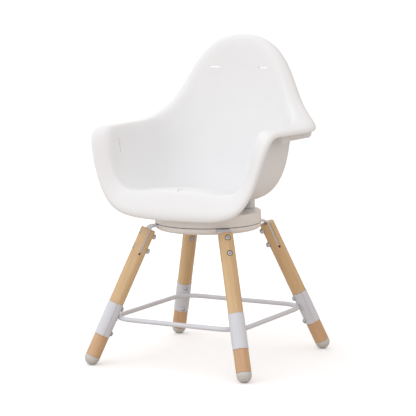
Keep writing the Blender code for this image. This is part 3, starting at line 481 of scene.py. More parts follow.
def timber_group():
    """Turned beech: growth bands, fine fibres and the short dark flecks of the rays."""
    tree, enter, leave = new_group(
        "timber",
        [("Place", VECTOR, None), ("Light", COLOUR, None), ("Dark", COLOUR, None), ("Fleck", FLOAT, 0.35)],
        [("Colour", COLOUR), ("Height", FLOAT), ("Roughness", FLOAT)])
    place = enter.outputs["Place"]
    sway = noise(tree, stretched(tree, place, (9.0, 9.0, 2.2)), 1.0, 3.0)
    bands_at = add(tree, "ShaderNodeVectorMath", operation="MULTIPLY_ADD")
    tree.links.new(sway, bands_at.inputs[0])
    bands_at.inputs[1].default_value = (0.030, 0.018, 0.0)
    tree.links.new(place, bands_at.inputs[2])
    bands = add(tree, "ShaderNodeTexWave", wave_type="BANDS", bands_direction="X", wave_profile="SIN")
    bands.inputs["Scale"].default_value = 34.0
    bands.inputs["Distortion"].default_value = 2.0
    bands.inputs["Detail"].default_value = 3.0
    bands.inputs["Detail Scale"].default_value = 1.2
    tree.links.new(stretched(tree, bands_at.outputs["Vector"], (1.0, 1.0, 0.12)), bands.inputs["Vector"])
    fibres = noise(tree, stretched(tree, place, (900.0, 900.0, 22.0)), 1.0, 4.0, 0.65)
    flecks = add(tree, "ShaderNodeTexVoronoi", feature="F1")
    flecks.inputs["Scale"].default_value = 1.0
    tree.links.new(stretched(tree, place, (620.0, 620.0, 120.0)), flecks.inputs["Vector"])
    fleck = remap(tree, flecks.outputs["Distance"], 0.10, 0.24, 1.0, 0.0)
    broad = noise(tree, stretched(tree, place, (30.0, 30.0, 4.0)), 1.0, 3.0)
    share = arithmetic(tree, "MULTIPLY", bands.outputs["Fac"], 0.20)
    share = arithmetic(tree, "ADD", share, remap(tree, fibres, 0.35, 0.70, 0.0, 0.34))
    share = arithmetic(tree, "ADD", share, remap(tree, broad, 0.35, 0.65, -0.10, 0.28))
    share = arithmetic(tree, "ADD", share, arithmetic(tree, "MULTIPLY", fleck, enter.outputs["Fleck"]))
    mix = add(tree, "ShaderNodeMix", data_type="RGBA", clamp_factor=True)
    tree.links.new(share, mix.inputs["Factor"])
    tree.links.new(enter.outputs["Light"], mix.inputs[6])
    tree.links.new(enter.outputs["Dark"], mix.inputs[7])
    height = arithmetic(tree, "SUBTRACT", fibres, arithmetic(tree, "MULTIPLY", fleck, 0.5))
    tree.links.new(mix.outputs[2], leave.inputs["Colour"])
    tree.links.new(height, leave.inputs["Height"])
    tree.links.new(remap(tree, fibres, 0.3, 0.7, 0.40, 0.55), leave.inputs["Roughness"])
    return tree


def plating_group():
    """Bright plating: streaks of polish and cloudy patches of passivation."""
    tree, enter, leave = new_group(
        "plating",
        [("Place", VECTOR, None), ("Gloss", FLOAT, 0.28)],
        [("Height", FLOAT), ("Tone", FLOAT), ("Roughness", FLOAT)])
    place = enter.outputs["Place"]
    streaks = noise(tree, stretched(tree, place, (1800.0, 1800.0, 260.0)), 1.0, 3.0)
    clouds = noise(tree, place, 240.0, 3.0)
    tree.links.new(streaks, leave.inputs["Height"])
    tree.links.new(remap(tree, clouds, 0.3, 0.7, 0.82, 1.05), leave.inputs["Tone"])
    cloudy = remap(tree, clouds, 0.3, 0.7, -0.06, 0.12)
    tree.links.new(arithmetic(tree, "ADD", enter.outputs["Gloss"], cloudy), leave.inputs["Roughness"])
    return tree


def shader(name):
    made = bpy.data.materials.new(name)
    made.use_nodes = True
    tree = made.node_tree
    return made, tree, tree.nodes["Principled BSDF"]


def use_group(tree, group, place, **values):
    node = add(tree, "ShaderNodeGroup", node_tree=group)
    tree.links.new(place, node.inputs["Place"])
    for label, value in values.items():
        node.inputs[label.replace("_", " ")].default_value = value
    return node


def bump(tree, height, surface, strength, distance):
    node = add(tree, "ShaderNodeBump")
    node.inputs["Strength"].default_value = strength
    node.inputs["Distance"].default_value = distance
    tree.links.new(height, node.inputs["Height"])
    tree.links.new(node.outputs["Normal"], surface.inputs["Normal"])


def toned(tree, colour, tone):
    """The colour times a tone that changes over the surface."""
    node = add(tree, "ShaderNodeMix", data_type="RGBA", blend_type="MULTIPLY")
    node.inputs["Factor"].default_value = 1.0
    node.inputs[6].default_value = (*colour, 1.0)
    tree.links.new(tone, node.inputs[7])
    return node.outputs[2]


def plastic(name, colour, gloss, texture_scale, texture, group, coat=0.0):
    made, tree, surface = shader(name)
    place = add(tree, "ShaderNodeTexCoord").outputs["Object"]
    skin = use_group(tree, group, place, Texture_Scale=texture_scale, Gloss=gloss, Drift=0.05)
    tree.links.new(toned(tree, colour, skin.outputs["Tone"]), surface.inputs["Base Color"])
    tree.links.new(skin.outputs["Roughness"], surface.inputs["Roughness"])
    surface.inputs["IOR"].default_value = 1.49
    surface.inputs["Coat Weight"].default_value = coat
    surface.inputs["Coat Roughness"].default_value = 0.25
    bump(tree, skin.outputs["Height"], surface, texture, 0.0002)
    return made


def beech(name, light, dark, group):
    made, tree, surface = shader(name)
    place = add(tree, "ShaderNodeAttribute", attribute_name="grain_place").outputs["Vector"]
    wood = use_group(tree, group, place, Light=(*light, 1.0), Dark=(*dark, 1.0))
    tree.links.new(wood.outputs["Colour"], surface.inputs["Base Color"])
    tree.links.new(wood.outputs["Roughness"], surface.inputs["Roughness"])
    surface.inputs["Coat Weight"].default_value = 0.12
    surface.inputs["Coat Roughness"].default_value = 0.35
    bump(tree, wood.outputs["Height"], surface, 0.25, 0.0002)
    return made


def plated(name, colour, group):
    made, tree, surface = shader(name)
    place = add(tree, "ShaderNodeTexCoord").outputs["Object"]
    metal = use_group(tree, group, place, Gloss=0.26)
    tree.links.new(toned(tree, colour, metal.outputs["Tone"]), surface.inputs["Base Color"])
    tree.links.new(metal.outputs["Roughness"], surface.inputs["Roughness"])
    surface.inputs["Metallic"].default_value = 1.0
    bump(tree, metal.outputs["Height"], surface, 0.15, 0.0001)
    return made


FINISHES = {}


def make_finishes(colours):
    skin, timber, plating = moulded_skin_group(), timber_group(), plating_group()
    light, dark = Vector(colours.wood_light), Vector(colours.wood_dark)
    pink = Vector((0.93, 0.84, 0.86))
    FINISHES["shell"] = plastic("shell_plastic", colours.shell, 0.42, 1400.0, 0.05, skin)
    FINISHES["disc"] = plastic("disc_plastic", colours.disc, 0.30, 1600.0, 0.04, skin, 0.15)
    FINISHES["coat"] = plastic("powder_coat", colours.coat, 0.36, 700.0, 0.16, skin, 0.10)
    FINISHES["cap"] = plastic("cap_plastic", colours.cap, 0.58, 1200.0, 0.12, skin)
    FINISHES["acetal"] = plastic("acetal", (0.85, 0.85, 0.83), 0.45, 900.0, 0.05, skin)
    FINISHES["beech"] = beech("beech_upper", light, dark, timber)
    FINISHES["beech_foot"] = beech("beech_lower", light * pink, dark * pink, timber)
    FINISHES["zinc"] = plated("zinc_plate", colours.zinc, plating)


# ---------------------------------------------------------------- geometry node trees

def node_tree(name, inputs):
    """A Geometry Nodes tree with its sockets, whose inputs follow the geometry."""
    tree = bpy.data.node_groups.new(name, "GeometryNodeTree")
    tree.interface.new_socket("Geometry", in_out="INPUT", socket_type="NodeSocketGeometry")
    for label, kind in inputs:
        tree.interface.new_socket(label, in_out="INPUT", socket_type=kind)
    tree.interface.new_socket("Geometry", in_out="OUTPUT", socket_type="NodeSocketGeometry")
    return tree, tree.nodes.new("NodeGroupInput"), tree.nodes.new("NodeGroupOutput")


def end_tree(tree, enter, leave, geometry):
    """Ends a tree in Realize Instances and Set Material."""
    realize = add(tree, "GeometryNodeRealizeInstances")
    paint = add(tree, "GeometryNodeSetMaterial")
    tree.links.new(geometry, realize.inputs["Geometry"])
    tree.links.new(realize.outputs["Geometry"], paint.inputs["Geometry"])
    tree.links.new(enter.outputs["Finish"], paint.inputs["Material"])
    tree.links.new(paint.outputs["Geometry"], leave.inputs["Geometry"])
    return tree


def copies_tree():
    """Copies of one small piece, set on points and turned as each point says."""
    tree, enter, leave = node_tree("copies_on_points", [
        ("Copied Piece", "NodeSocketObject"), ("Size", "NodeSocketFloat"), ("Finish", "NodeSocketMaterial")])
    source = add(tree, "GeometryNodeObjectInfo")
    turn = add(tree, "GeometryNodeInputNamedAttribute", data_type="FLOAT_VECTOR")
    turn.inputs["Name"].default_value = "turn"
    rotation = add(tree, "FunctionNodeEulerToRotation")
    copies = add(tree, "GeometryNodeInstanceOnPoints")
    tree.links.new(enter.outputs["Copied Piece"], source.inputs["Object"])
    tree.links.new(turn.outputs["Attribute"], rotation.inputs[0])
    tree.links.new(enter.outputs["Geometry"], copies.inputs["Points"])
    tree.links.new(source.outputs["Geometry"], copies.inputs["Instance"])
    tree.links.new(rotation.outputs[0], copies.inputs["Rotation"])
    tree.links.new(enter.outputs["Size"], copies.inputs["Scale"])
    return end_tree(tree, enter, leave, copies.outputs["Instances"])


def rod_tree():
    """A round rod along a path whose corners are bent to a radius."""
    tree, enter, leave = node_tree("bent_rod", [
        ("Rod Radius", "NodeSocketFloat"), ("Bend Radius", "NodeSocketFloat"),
        ("Bend Facets", "NodeSocketInt"), ("Rod Facets", "NodeSocketInt"), ("Finish", "NodeSocketMaterial")])
    path = add(tree, "GeometryNodeMeshToCurve")
    bend = add(tree, "GeometryNodeFilletCurve", mode="POLY")
    circle = add(tree, "GeometryNodeCurvePrimitiveCircle", mode="RADIUS")
    sweep = add(tree, "GeometryNodeCurveToMesh")
    smooth = add(tree, "GeometryNodeSetShadeSmooth")
    tree.links.new(enter.outputs["Geometry"], path.inputs["Mesh"])
    tree.links.new(path.outputs["Curve"], bend.inputs["Curve"])
    tree.links.new(enter.outputs["Bend Facets"], bend.inputs["Count"])
    tree.links.new(enter.outputs["Bend Radius"], bend.inputs["Radius"])
    tree.links.new(enter.outputs["Rod Facets"], circle.inputs["Resolution"])
    tree.links.new(enter.outputs["Rod Radius"], circle.inputs["Radius"])
    tree.links.new(bend.outputs["Curve"], sweep.inputs["Curve"])
    tree.links.new(circle.outputs["Curve"], sweep.inputs["Profile Curve"])
    tree.links.new(sweep.outputs["Mesh"], smooth.inputs[0])
    return end_tree(tree, enter, leave, smooth.outputs[0])


def run_tree(mesh, tree, values):
    """The plain mesh that a tree makes from this one."""
    carrier = bpy.data.objects.new("carrier", mesh)
    bpy.context.scene.collection.objects.link(carrier)
    step = carrier.modifiers.new("tree", "NODES")
    step.node_group = tree
    for item in tree.interface.items_tree:
        if item.item_type == "SOCKET" and item.in_out == "INPUT" and item.name in values:
            step[item.identifier] = values[item.name]
    result = plain_mesh(carrier)
    bpy.data.objects.remove(carrier, do_unlink=True)
    return result


def copies(sample, places, size=1.0, finish="zinc"):
    """Copies of a sample mesh at each of the places, which are 4x4 matrices, as one plain mesh."""
    tree = bpy.data.node_groups.get("copies_on_points") or copies_tree()
    sample.shade_smooth()
    sample.set_sharp_from_angle(angle=math.radians(32))
    source = bpy.data.objects.new("sample", sample)
    bpy.context.scene.collection.objects.link(source)
    points = bpy.data.meshes.new("points")
    points.from_pydata([tuple(place.translation) for place in places], [], [])
    turn = points.attributes.new("turn", "FLOAT_VECTOR", "POINT")
    for number, place in enumerate(places):
        turn.data[number].vector = place.to_euler("XYZ")
    result = run_tree(points, tree, {"Copied Piece": source, "Size": size, "Finish": FINISHES[finish]})
    bpy.data.objects.remove(source, do_unlink=True)
    return result


# ---------------------------------------------------------------- seat shell

def spline_weights(count, samples, closed):
    """Weights of a cubic B-spline: one row for each sample, one column for each control point."""
    weights = np.zeros((len(samples), count))
    if closed:
        for row, place in enumerate(samples):
            first = math.floor(place * count)
            t = place * count - first
            cubic = ((1 - t) ** 3, 3 * t**3 - 6 * t * t + 4, -3 * t**3 + 3 * t * t + 3 * t + 1, t**3)
            for column, weight in enumerate(cubic):
                weights[row, (first - 1 + column) % count] += weight / 6
        return weights
    knots = np.concatenate([[0] * 3, np.linspace(0, 1, count - 2), [1] * 3])
    for row, place in enumerate(samples):
        at = min(place, 1 - 1e-9)
        basis = [1.0 if knots[i] <= at < knots[i + 1] else 0.0 for i in range(count + 3)]
        for degree in (1, 2, 3):
            for i in range(count + 3 - degree):
                rise = knots[i + degree] - knots[i]
                fall = knots[i + degree + 1] - knots[i + 1]
                left = (at - knots[i]) / rise * basis[i] if rise else 0.0
                right = (knots[i + degree + 1] - at) / fall * basis[i + 1] if fall else 0.0
                basis[i] = left + right
        weights[row] = basis[:count]
    return weights


def shell_cage():
    """Control rings from the seat's low point out to the end of the rim, all the way round."""
    lift = np.array((0, 0, SHELL_BOTTOM))
    low_point = np.array(SEAT_LOW_POINT) + lift
    lines = (SEAT_BEND, FLANGE_CORNER, FLANGE_EDGE, FLANGE_END)
    bend, corner, edge, end = (np.array(line) + lift for line in lines)
    seat = low_point + (bend - low_point) * np.array((0.55, 0.55, 0.30))
    lower_wall = bend + (corner - bend) * np.array((0.74, 0.60, 0.38))
    upper_wall = bend + (corner - bend) * np.array((0.90, 0.88, 0.80))
    pole = np.repeat(low_point[None], len(bend), 0)
    half = np.array([pole, seat, bend, lower_wall, upper_wall, corner, (corner + edge) / 2, edge, end])
    mirrored = half[:, -2:0:-1] * np.array((-1, 1, 1))
    return np.concatenate([half, mirrored], axis=1)


def shell_rows(around, along, wall):
    """Rows of points: the sitter's side out to the rim, round the rim's edge, and the outer side back in."""
    cage = shell_cage()
    rim_stop = 0.988
    turn = spline_weights(cage.shape[1], np.arange(around) / around, True)
    out = spline_weights(cage.shape[0], np.linspace(0, rim_stop, along + 1), False)
    inner = np.einsum("vr,rnc,un->vuc", out, cage, turn)
    across = np.roll(inner, -1, 1) - np.roll(inner, 1, 1)
    outward = np.gradient(inner, axis=0)
    normal = np.cross(across, outward)
    normal[0] = (0, 0, -1)
    normal /= np.linalg.norm(normal, axis=2, keepdims=True)
    if normal[2, 0, 2] > 0:
        normal[1:] *= -1
    outer = inner + normal * wall
    tip = outward[-1] / np.linalg.norm(outward[-1], axis=1, keepdims=True)
    middle = inner[-1] + normal[-1] * wall / 2
    edge = []
    for step in range(1, 6):
        angle = math.pi * step / 6
        edge.append(middle + wall / 2 * (tip * math.sin(angle) - normal[-1] * math.cos(angle)))
    return [*inner[1:], *edge, *outer[:0:-1]], inner[0, 0], outer[0, 0]


def skin_faces(rows, around):
    """Faces that join a first point, rows of points and a last point into a closed skin."""
    faces = []
    final = 1 + (rows - 1) * around
    for step in range(around):
        after = (step + 1) % around
        faces.append([0, 1 + step, 1 + after])
        for row in range(rows - 1):
            near = 1 + row * around
            faces.append([near + step, near + after, near + around + after, near + around + step])
        faces.append([final + step, final + after, final + around])
    return faces


def shell_mesh(around, along, wall):
    rows, first, last = shell_rows(around, along, wall)
    points = [first, *np.concatenate(rows), last]
    return mesh_from(points, skin_faces(len(rows), around), "moulded_seat")


def finder(mesh):
    shape = bmesh.new()
    shape.from_mesh(mesh)
    tree = BVHTree.FromBMesh(shape)
    shape.free()
    return tree


def height_above(tree, x, y, z):
    return tree.ray_cast(Vector((x, y, z)), Vector((0, 0, 1)))[0].z


def boss_corners():
    return [(sx * BOSS_PLACE, sy * BOSS_PLACE) for sx in (-1, 1) for sy in (-1, 1)]


def boss_mesh(tree, x, y, sides=48):
    """A boss under the seat, which flares into the shell, with a broken edge at its foot."""
    foot = COVER_HIGH.z + GAP
    rings = []
    for step in range(sides):
        angle = math.tau * step / sides
        spoke = Vector((math.cos(angle), math.sin(angle), 0))
        column = []
        for radius, lift in ((BOSS_RADIUS - 0.0008, 0.0), (BOSS_RADIUS, 0.0008)):
            column.append(Vector((x, y, foot + lift)) + spoke * radius)
        for rise in range(6):
            bend = math.radians(18 * rise)
            radius = BOSS_RADIUS + BOSS_FLARE * (1 - math.cos(bend))
            edge = Vector((x, y, 0)) + spoke * radius
            top = height_above(tree, edge.x, edge.y, foot)
            column.append(Vector((edge.x, edge.y, top - BOSS_FLARE * (1 - math.sin(bend)))))
        column.append(column[-1] + Vector((0, 0, BOSS_ROOT)))
        rings.append(column)
    points = [Vector((x, y, foot))]
    for level in range(len(rings[0])):
        points.extend(column[level] for column in rings)
    points.append(Vector((x, y, height_above(tree, x, y, foot) + BOSS_ROOT)))
    return mesh_from(points, skin_faces(len(rings[0]), sides))


def slot_bar(length, width, depth):
    """A bar with round ends, long in x and deep in y."""
    half = length / 2 - width / 2
    outline = arc((half, 0), width / 2, -90, 90, 8) + arc((-half, 0), width / 2, 90, 270, 8)
    return prism(outline, depth / 2)


def wall_place(tree, start, way):
    """The place where a ray meets the shell, leaned until it is square to the wall."""
    hit, normal, _, _ = tree.ray_cast(Vector(start), Vector(way))
    lean = (-Vector(way)).rotation_difference(normal).to_matrix().to_4x4()
    return Matrix.Translation(hit) @ lean


def slot_cutters(tree, sizes):
    """Cutters for the harness slots, each square to the wall that it goes through."""
    depth = 8 * sizes.wall
    cutters = []
    for side in (-1, 1):
        bar = slot_bar(sizes.slot_length, sizes.slot_width, depth)
        cutters.append(moved(bar, wall_place(tree, (side * BACK_SLOT_X, 0, BACK_SLOT_Z), (0, 1, 0))))
        bar = moved(slot_bar(sizes.arm_slot_length, sizes.slot_width, depth), ALONG_X)
        aim = Vector((0, 1, 0)).rotation_difference(Vector((-side, 0, 0))).to_matrix().to_4x4()
        cutters.append(moved(bar, wall_place(tree, (0, ARM_SLOT_Y, ARM_SLOT_Z), (side, 0, 0)) @ aim))
    bar = moved(slot_bar(CROTCH_SLOT_LENGTH, sizes.slot_width, depth), Matrix.Rotation(math.pi / 2, 4, "X"))
    bar = moved(bar, Matrix.Rotation(math.pi / 2, 4, "Z"))
    cutters.append(moved(bar, wall_place(tree, (0, CROTCH_SLOT_Y, ARM_SLOT_Z), (0, 0, -1))))
    return cutters


SHARED = {}


class CHAIR_OT_seat_shell(bpy.types.Operator):
    """Moulds the bucket seat with its rolled rim, bosses and harness slots"""

    bl_idname = "highchair.seat_shell"
    bl_label = "Seat Shell"

    def execute(self, context):
        sizes = context.scene.highchair_shell
        shell = shell_mesh(sizes.around, sizes.along, sizes.wall)
        tree = finder(shell)
        SHARED["shell"] = tree
        shell = combine(shell, [boss_mesh(tree, x, y) for x, y in boss_corners()], "UNION")
        shell = combine(shell, slot_cutters(tree, sizes), "DIFFERENCE")
        set_piece("moulded_seat", shell, FINISHES["shell"], "seat", "shell", "seat_shell")
        return {"FINISHED"}


def rail_mesh(side, sizes):
    """A tray rail: a plain front block, then square teeth, and a top that follows the arm."""
    low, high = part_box("tray_rail_left")
    block_end = low.y + RAIL_BLOCK_LENGTH
    tooth_bottom = low.z + RAIL_BLOCK_DROP
    root = tooth_bottom + sizes.tooth_depth
    half_tooth = sizes.tooth_pitch / 2
    line = [(low.y, low.z), (block_end, low.z), (block_end, root)]
    for number in range(RAIL_TEETH):
        start = block_end + (number + 0.5) * sizes.tooth_pitch
        end = start + half_tooth
        line += [(start, root), (start, tooth_bottom), (end, tooth_bottom), (end, root)]
    line.append((high.y, root))
    crest = np.linspace(high.y, low.y, 24)
    points = []
    for x in (side * low.x, side * high.x):
        points += [(x, y, z) for y, z in line]
        points += [(x, y, height_above(SHARED["shell"], x, y, low.z - 0.002) - 2 * GAP) for y in crest]
    half = len(points) // 2
    faces = [list(range(half)), list(range(2 * half - 1, half - 1, -1))]
    for corner in range(half):
        after = (corner + 1) % half
        faces.append([corner, after, after + half, corner + half])
    return bevelled(mesh_from(points, faces), 0.0004, 2)


class CHAIR_OT_tray_rails(bpy.types.Operator):
    """Makes the toothed tray rails under the arms"""

    bl_idname = "highchair.tray_rails"
    bl_label = "Tray Rails"

    def execute(self, context):
        sizes = context.scene.highchair_workshop
        for side, name in ((1, "left"), (-1, "right")):
            set_piece(f"rail_{name}", rail_mesh(side, sizes), FINISHES["shell"], "seat", "shell",
                      f"tray_rail_{name}")
        return {"FINISHED"}


# ---------------------------------------------------------------- turntable

def cover_mesh(facets):
    """The upper disc: an open cup with a rounded top edge, a broken lower edge and posts inside."""
    low, high, outer = COVER_LOW.z, COVER_HIGH.z, DISC_RADIUS
    inner, ceiling = outer - COVER_WALL, high - COVER_WALL
    edge = 0.004
    profile = [(0, high)] + arc((outer - edge, high - edge), edge, 90, 0, 8)
    profile += [(outer, low + 0.0008), (outer - 0.0002, low + 0.0003), (outer - 0.0008, low), (inner, low)]
    profile += arc((inner - 0.0015, ceiling - 0.0015), 0.0015, 0, 90, 4) + [(0, ceiling)]
    cup = turned(profile, facets)
    posts, holes = [], []
    for x, y in boss_corners():
        shift = Matrix.Translation((x, y, 0))
        post = turned([(0, 0.3045), (0.0070, 0.3045), (0.0075, 0.305), (0.0078, ceiling - 0.002),
                       (0.0095, ceiling + 0.001), (0, ceiling + 0.001)], 32)
        posts.append(moved(post, shift))
        holes.append(moved(cylinder(0.0028, 0.299, high + 0.002, 24), shift))
    return combine(combine(cup, posts, "UNION"), holes, "DIFFERENCE")


def base_cover_mesh(facets):
    """The lower disc: a shallow bowl with a rounded underside and a notch for each strap."""
    low, high, outer = BASE_LOW.z, BASE_HIGH.z, DISC_RADIUS
    rise, run = high - low, outer - BASE_BOTTOM_RADIUS
    steps = 12
    outside, inside = [(PIVOT_RADIUS + GAP, low), (BASE_BOTTOM_RADIUS, low)], []
    for step in range(1, steps + 1):
        angle = math.radians(90 * step / steps)
        lift = rise * (1 - math.cos(angle))
        outside.append((BASE_BOTTOM_RADIUS + run * math.sin(angle), low + 0.7 * lift))
        inside.append((BASE_BOTTOM_RADIUS + (run - BASE_WALL) * math.sin(angle),
                       low + BASE_WALL + 0.5 * lift))
    outside += [(outer, high - 0.0006), (outer - 0.0006, high), (outer - BASE_WALL, high)]
    inside = inside[::-1] + [(BASE_BOTTOM_RADIUS, low + BASE_WALL), (PIVOT_RADIUS + GAP, low + BASE_WALL)]
    bowl = turned(outside + inside, facets)
    notches = []
    for leg in LEGS:
        half = STRAP_WIDTH / 2 + GAP
        notch = box((BASE_BOTTOM_RADIUS - 0.002, -half, STRAP_TOP_Z - STRAP_THICKNESS - GAP),
                    (outer + 0.002, half, high + 0.002))
        notches.append(moved(notch, Matrix.Rotation(leg_angle(leg), 4, "Z")))
    return combine(bowl, notches, "DIFFERENCE")


def strap_mesh(leg, edge):
    """A flat strap that leaves the turntable level and bends down into the leg's saw cut."""
    level = STRAP_TOP_Z - STRAP_THICKNESS / 2
    bend = math.pi / 2 - LEG_TILT
    setback = STRAP_BEND_RADIUS * math.tan(bend / 2)
    centre = (LEG_SPREAD - level * math.tan(LEG_TILT) - setback, level - STRAP_BEND_RADIUS)
    upper = [(STRAP_INNER_RADIUS, STRAP_TOP_Z)]
    lower = [(STRAP_INNER_RADIUS, STRAP_TOP_Z - STRAP_THICKNESS)]
    end = 90 - math.degrees(bend)
    upper += arc(centre, STRAP_BEND_RADIUS + STRAP_THICKNESS / 2, 90, end, 12)
    lower += arc(centre, STRAP_BEND_RADIUS - STRAP_THICKNESS / 2, 90, end, 12)
    length = level / math.cos(LEG_TILT) - LEG_LENGTH + BLADE_LENGTH - setback
    for line in (upper, lower):
        line.append((line[-1][0] + math.sin(LEG_TILT) * length, line[-1][1] - math.cos(LEG_TILT) * length))
    strap = bevelled(prism(upper + lower[::-1], STRAP_WIDTH / 2), edge, 3, 40)
    return moved(strap, Matrix.Rotation(leg_angle(leg), 4, "Z"))


def base_frame_mesh(sizes):
    """The welded frame: a plate, four straps and the two fixed blocks of the swivel stop."""
    plate_low, edge = PLATE_TOP_Z - PLATE_THICKNESS, 0.0006
    plate = turned([(PIVOT_RADIUS + GAP, plate_low), (PLATE_RADIUS - edge, plate_low),
                    (PLATE_RADIUS, plate_low + edge), (PLATE_RADIUS, PLATE_TOP_Z - edge),
                    (PLATE_RADIUS - edge, PLATE_TOP_Z), (PIVOT_RADIUS + GAP, PLATE_TOP_Z)],
                   sizes.disc_facets)
    blocks = []
    for way in (-1, 1):
        block = bevelled(box((0.048, -0.004, plate_low + 0.001), (0.056, 0.004, STOP_BLOCK_TOP_Z)),
                         sizes.edge)
        blocks.append(moved(block, Matrix.Rotation(math.pi / 2 + way * STOP_BLOCK_TURN, 4, "Z")))
    frame_mesh = combine(plate, [strap_mesh(leg, sizes.edge) for leg in LEGS] + blocks, "UNION")
    holes = []
    for leg in LEGS:
        for height in BOLT_HEIGHTS:
            hole = along_x(cylinder(BOLT_HOLE_RADIUS, -0.008, 0.008, 24), height)
            holes.append(moved(hole, leg_frame(leg)))
    return combine(frame_mesh, holes, "DIFFERENCE")


class CHAIR_OT_turntable(bpy.types.Operator):
    """Makes the turntable's two discs and the welded frame that carries the legs"""

    bl_idname = "highchair.turntable"
    bl_label = "Turntable"

    def execute(self, context):
        sizes = context.scene.highchair_workshop
        facets = sizes.disc_facets
        set_piece("upper_disc", cover_mesh(facets), FINISHES["disc"], "seat", "turntable", "turntable_cover")
        set_piece("lower_disc", base_cover_mesh(facets), FINISHES["disc"], "base", "turntable", "base_cover")
        steel = base_frame_mesh(sizes)
        set_piece("strap_frame", steel, FINISHES["coat"], "base", "steel_white", "base_frame")
        return {"FINISHED"}


class CHAIR_OT_hidden_steel(bpy.types.Operator):
    """Gives the plates, bearing and screws inside the turntable their finishes"""

    bl_idname = "highchair.hidden_steel"
    bl_label = "Inner Plates and Screws"

    def execute(self, context):
        finishes = {"upper_plate": "zinc", "bearing_ring": "acetal",
                    "pivot_bolt": "zinc", "pivot_nut": "zinc"}
        finishes.update({f"seat_screw_{number}": "zinc" for number in LEGS})
        for node, finish in finishes.items():
            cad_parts[node].material_slots[0].material = FINISHES[finish]
        return {"FINISHED"}


# ---------------------------------------------------------------- legs

def set_grain(mesh, leg, lift):
    """Stores each point's place along and across its leg, so that the grain follows the wood."""
    into = leg_frame(leg).inverted()
    grain = mesh.attributes.new("grain_place", "FLOAT_VECTOR", "POINT")
    turn = Matrix.Rotation(leg * 1.9 + lift, 3, "Z")
    start = Vector((0.31 * leg, 0.17 * leg, 0.53 * leg + lift))
    for number, vertex in enumerate(mesh.vertices):
        grain.data[number].vector = turn @ (into @ vertex.co) + start


def screw_hole(height):
    """A hole for a sleeve screw, wider where the weld nut sits."""
    far = 2 * LEG_RADIUS
    small, wide, start = SCREW_HOLE_RADIUS, NUT_HOLE_RADIUS, NUT_HOLE_START
    profile = [(0, -far), (small, -far), (small, start), (wide, start), (wide, far), (0, far)]
    return along_x(turned(profile, 24), height)


def upper_leg_mesh(facets):
    low, shoulder = LEG_SPLIT + GAP / 2, SLEEVE_TOP + GAP
    profile = [(0, low), (TENON_RADIUS, low), (TENON_RADIUS, shoulder), (LEG_RADIUS - LEG_EDGE, shoulder),
               (LEG_RADIUS, shoulder + LEG_EDGE)]
    profile += arc((LEG_RADIUS - 0.0012, LEG_LENGTH - 0.0012), 0.0012, 0, 90, 4) + [(0, LEG_LENGTH)]
    wood = turned(profile, facets)
    half_slot = STRAP_THICKNESS / 2 + GAP
    floor = LEG_LENGTH - BLADE_LENGTH - 0.005
    far = 2 * LEG_RADIUS
    outside, inside = LEG_RADIUS - COUNTERBORE_DEPTH, LEG_RADIUS - SPOT_FACE_DEPTH
    saw_cut = box((-half_slot, -far, floor), (half_slot, far, LEG_LENGTH + 0.002))
    cuts = [saw_cut, screw_hole(SLEEVE_SCREW_HEIGHTS[0])]
    wide, small = COUNTERBORE_RADIUS, BOLT_HOLE_RADIUS
    bore = [(0, -far), (wide, -far), (wide, -inside), (small, -inside),
            (small, outside), (wide, outside), (wide, far), (0, far)]
    for height in BOLT_HEIGHTS:
        cuts.append(along_x(turned(bore, 40), height))
    return combine(wood, cuts, "DIFFERENCE")


def lower_leg_mesh(facets):
    low, shoulder, top = FOOT_CAP_HEIGHT + GAP, SLEEVE_BOTTOM - GAP, LEG_SPLIT - GAP / 2
    inset = LEG_RADIUS - LEG_EDGE
    profile = [(0, low), (inset, low), (LEG_RADIUS, low + LEG_EDGE), (LEG_RADIUS, shoulder - LEG_EDGE),
               (inset, shoulder), (TENON_RADIUS, shoulder), (TENON_RADIUS, top), (0, top)]
    wood = turned(profile, facets)
    bore = cylinder(SPIGOT_RADIUS + GAP, low - 0.002, FOOT_CAP_HEIGHT + SPIGOT_HEIGHT + GAP, 32)
    return combine(wood, [bore, screw_hole(SLEEVE_SCREW_HEIGHTS[1])], "DIFFERENCE")


def foot_cap_mesh(facets):
    """A domed cap with a parting line, flat where it meets the floor."""
    centre = (LEG_RADIUS - FOOT_FLAT_DEPTH) / math.cos(LEG_TILT)
    dome = arc((0, centre), LEG_RADIUS, -90, 0, 18)
    profile = [(0, centre - LEG_RADIUS)] + dome[1:]
    profile += arc((LEG_RADIUS - 0.0006, FOOT_CAP_HEIGHT - 0.0006), 0.0006, 0, 90, 3)
    top = FOOT_CAP_HEIGHT + SPIGOT_HEIGHT
    profile += [(SPIGOT_RADIUS, FOOT_CAP_HEIGHT), (SPIGOT_RADIUS, top), (0, top)]
    cap = turned(profile, facets)
    shape = bmesh.new()
    shape.from_mesh(cap)
    up = (math.sin(LEG_TILT), 0, math.cos(LEG_TILT))
    everything = shape.verts[:] + shape.edges[:] + shape.faces[:]
    bmesh.ops.bisect_plane(shape, geom=everything, plane_co=(0, 0, 0), plane_no=up, clear_inner=True)
    bmesh.ops.holes_fill(shape, edges=[edge for edge in shape.edges if edge.is_boundary])
    bmesh.ops.recalc_face_normals(shape, faces=shape.faces)
    shape.to_mesh(cap)
    shape.free()
    return cap


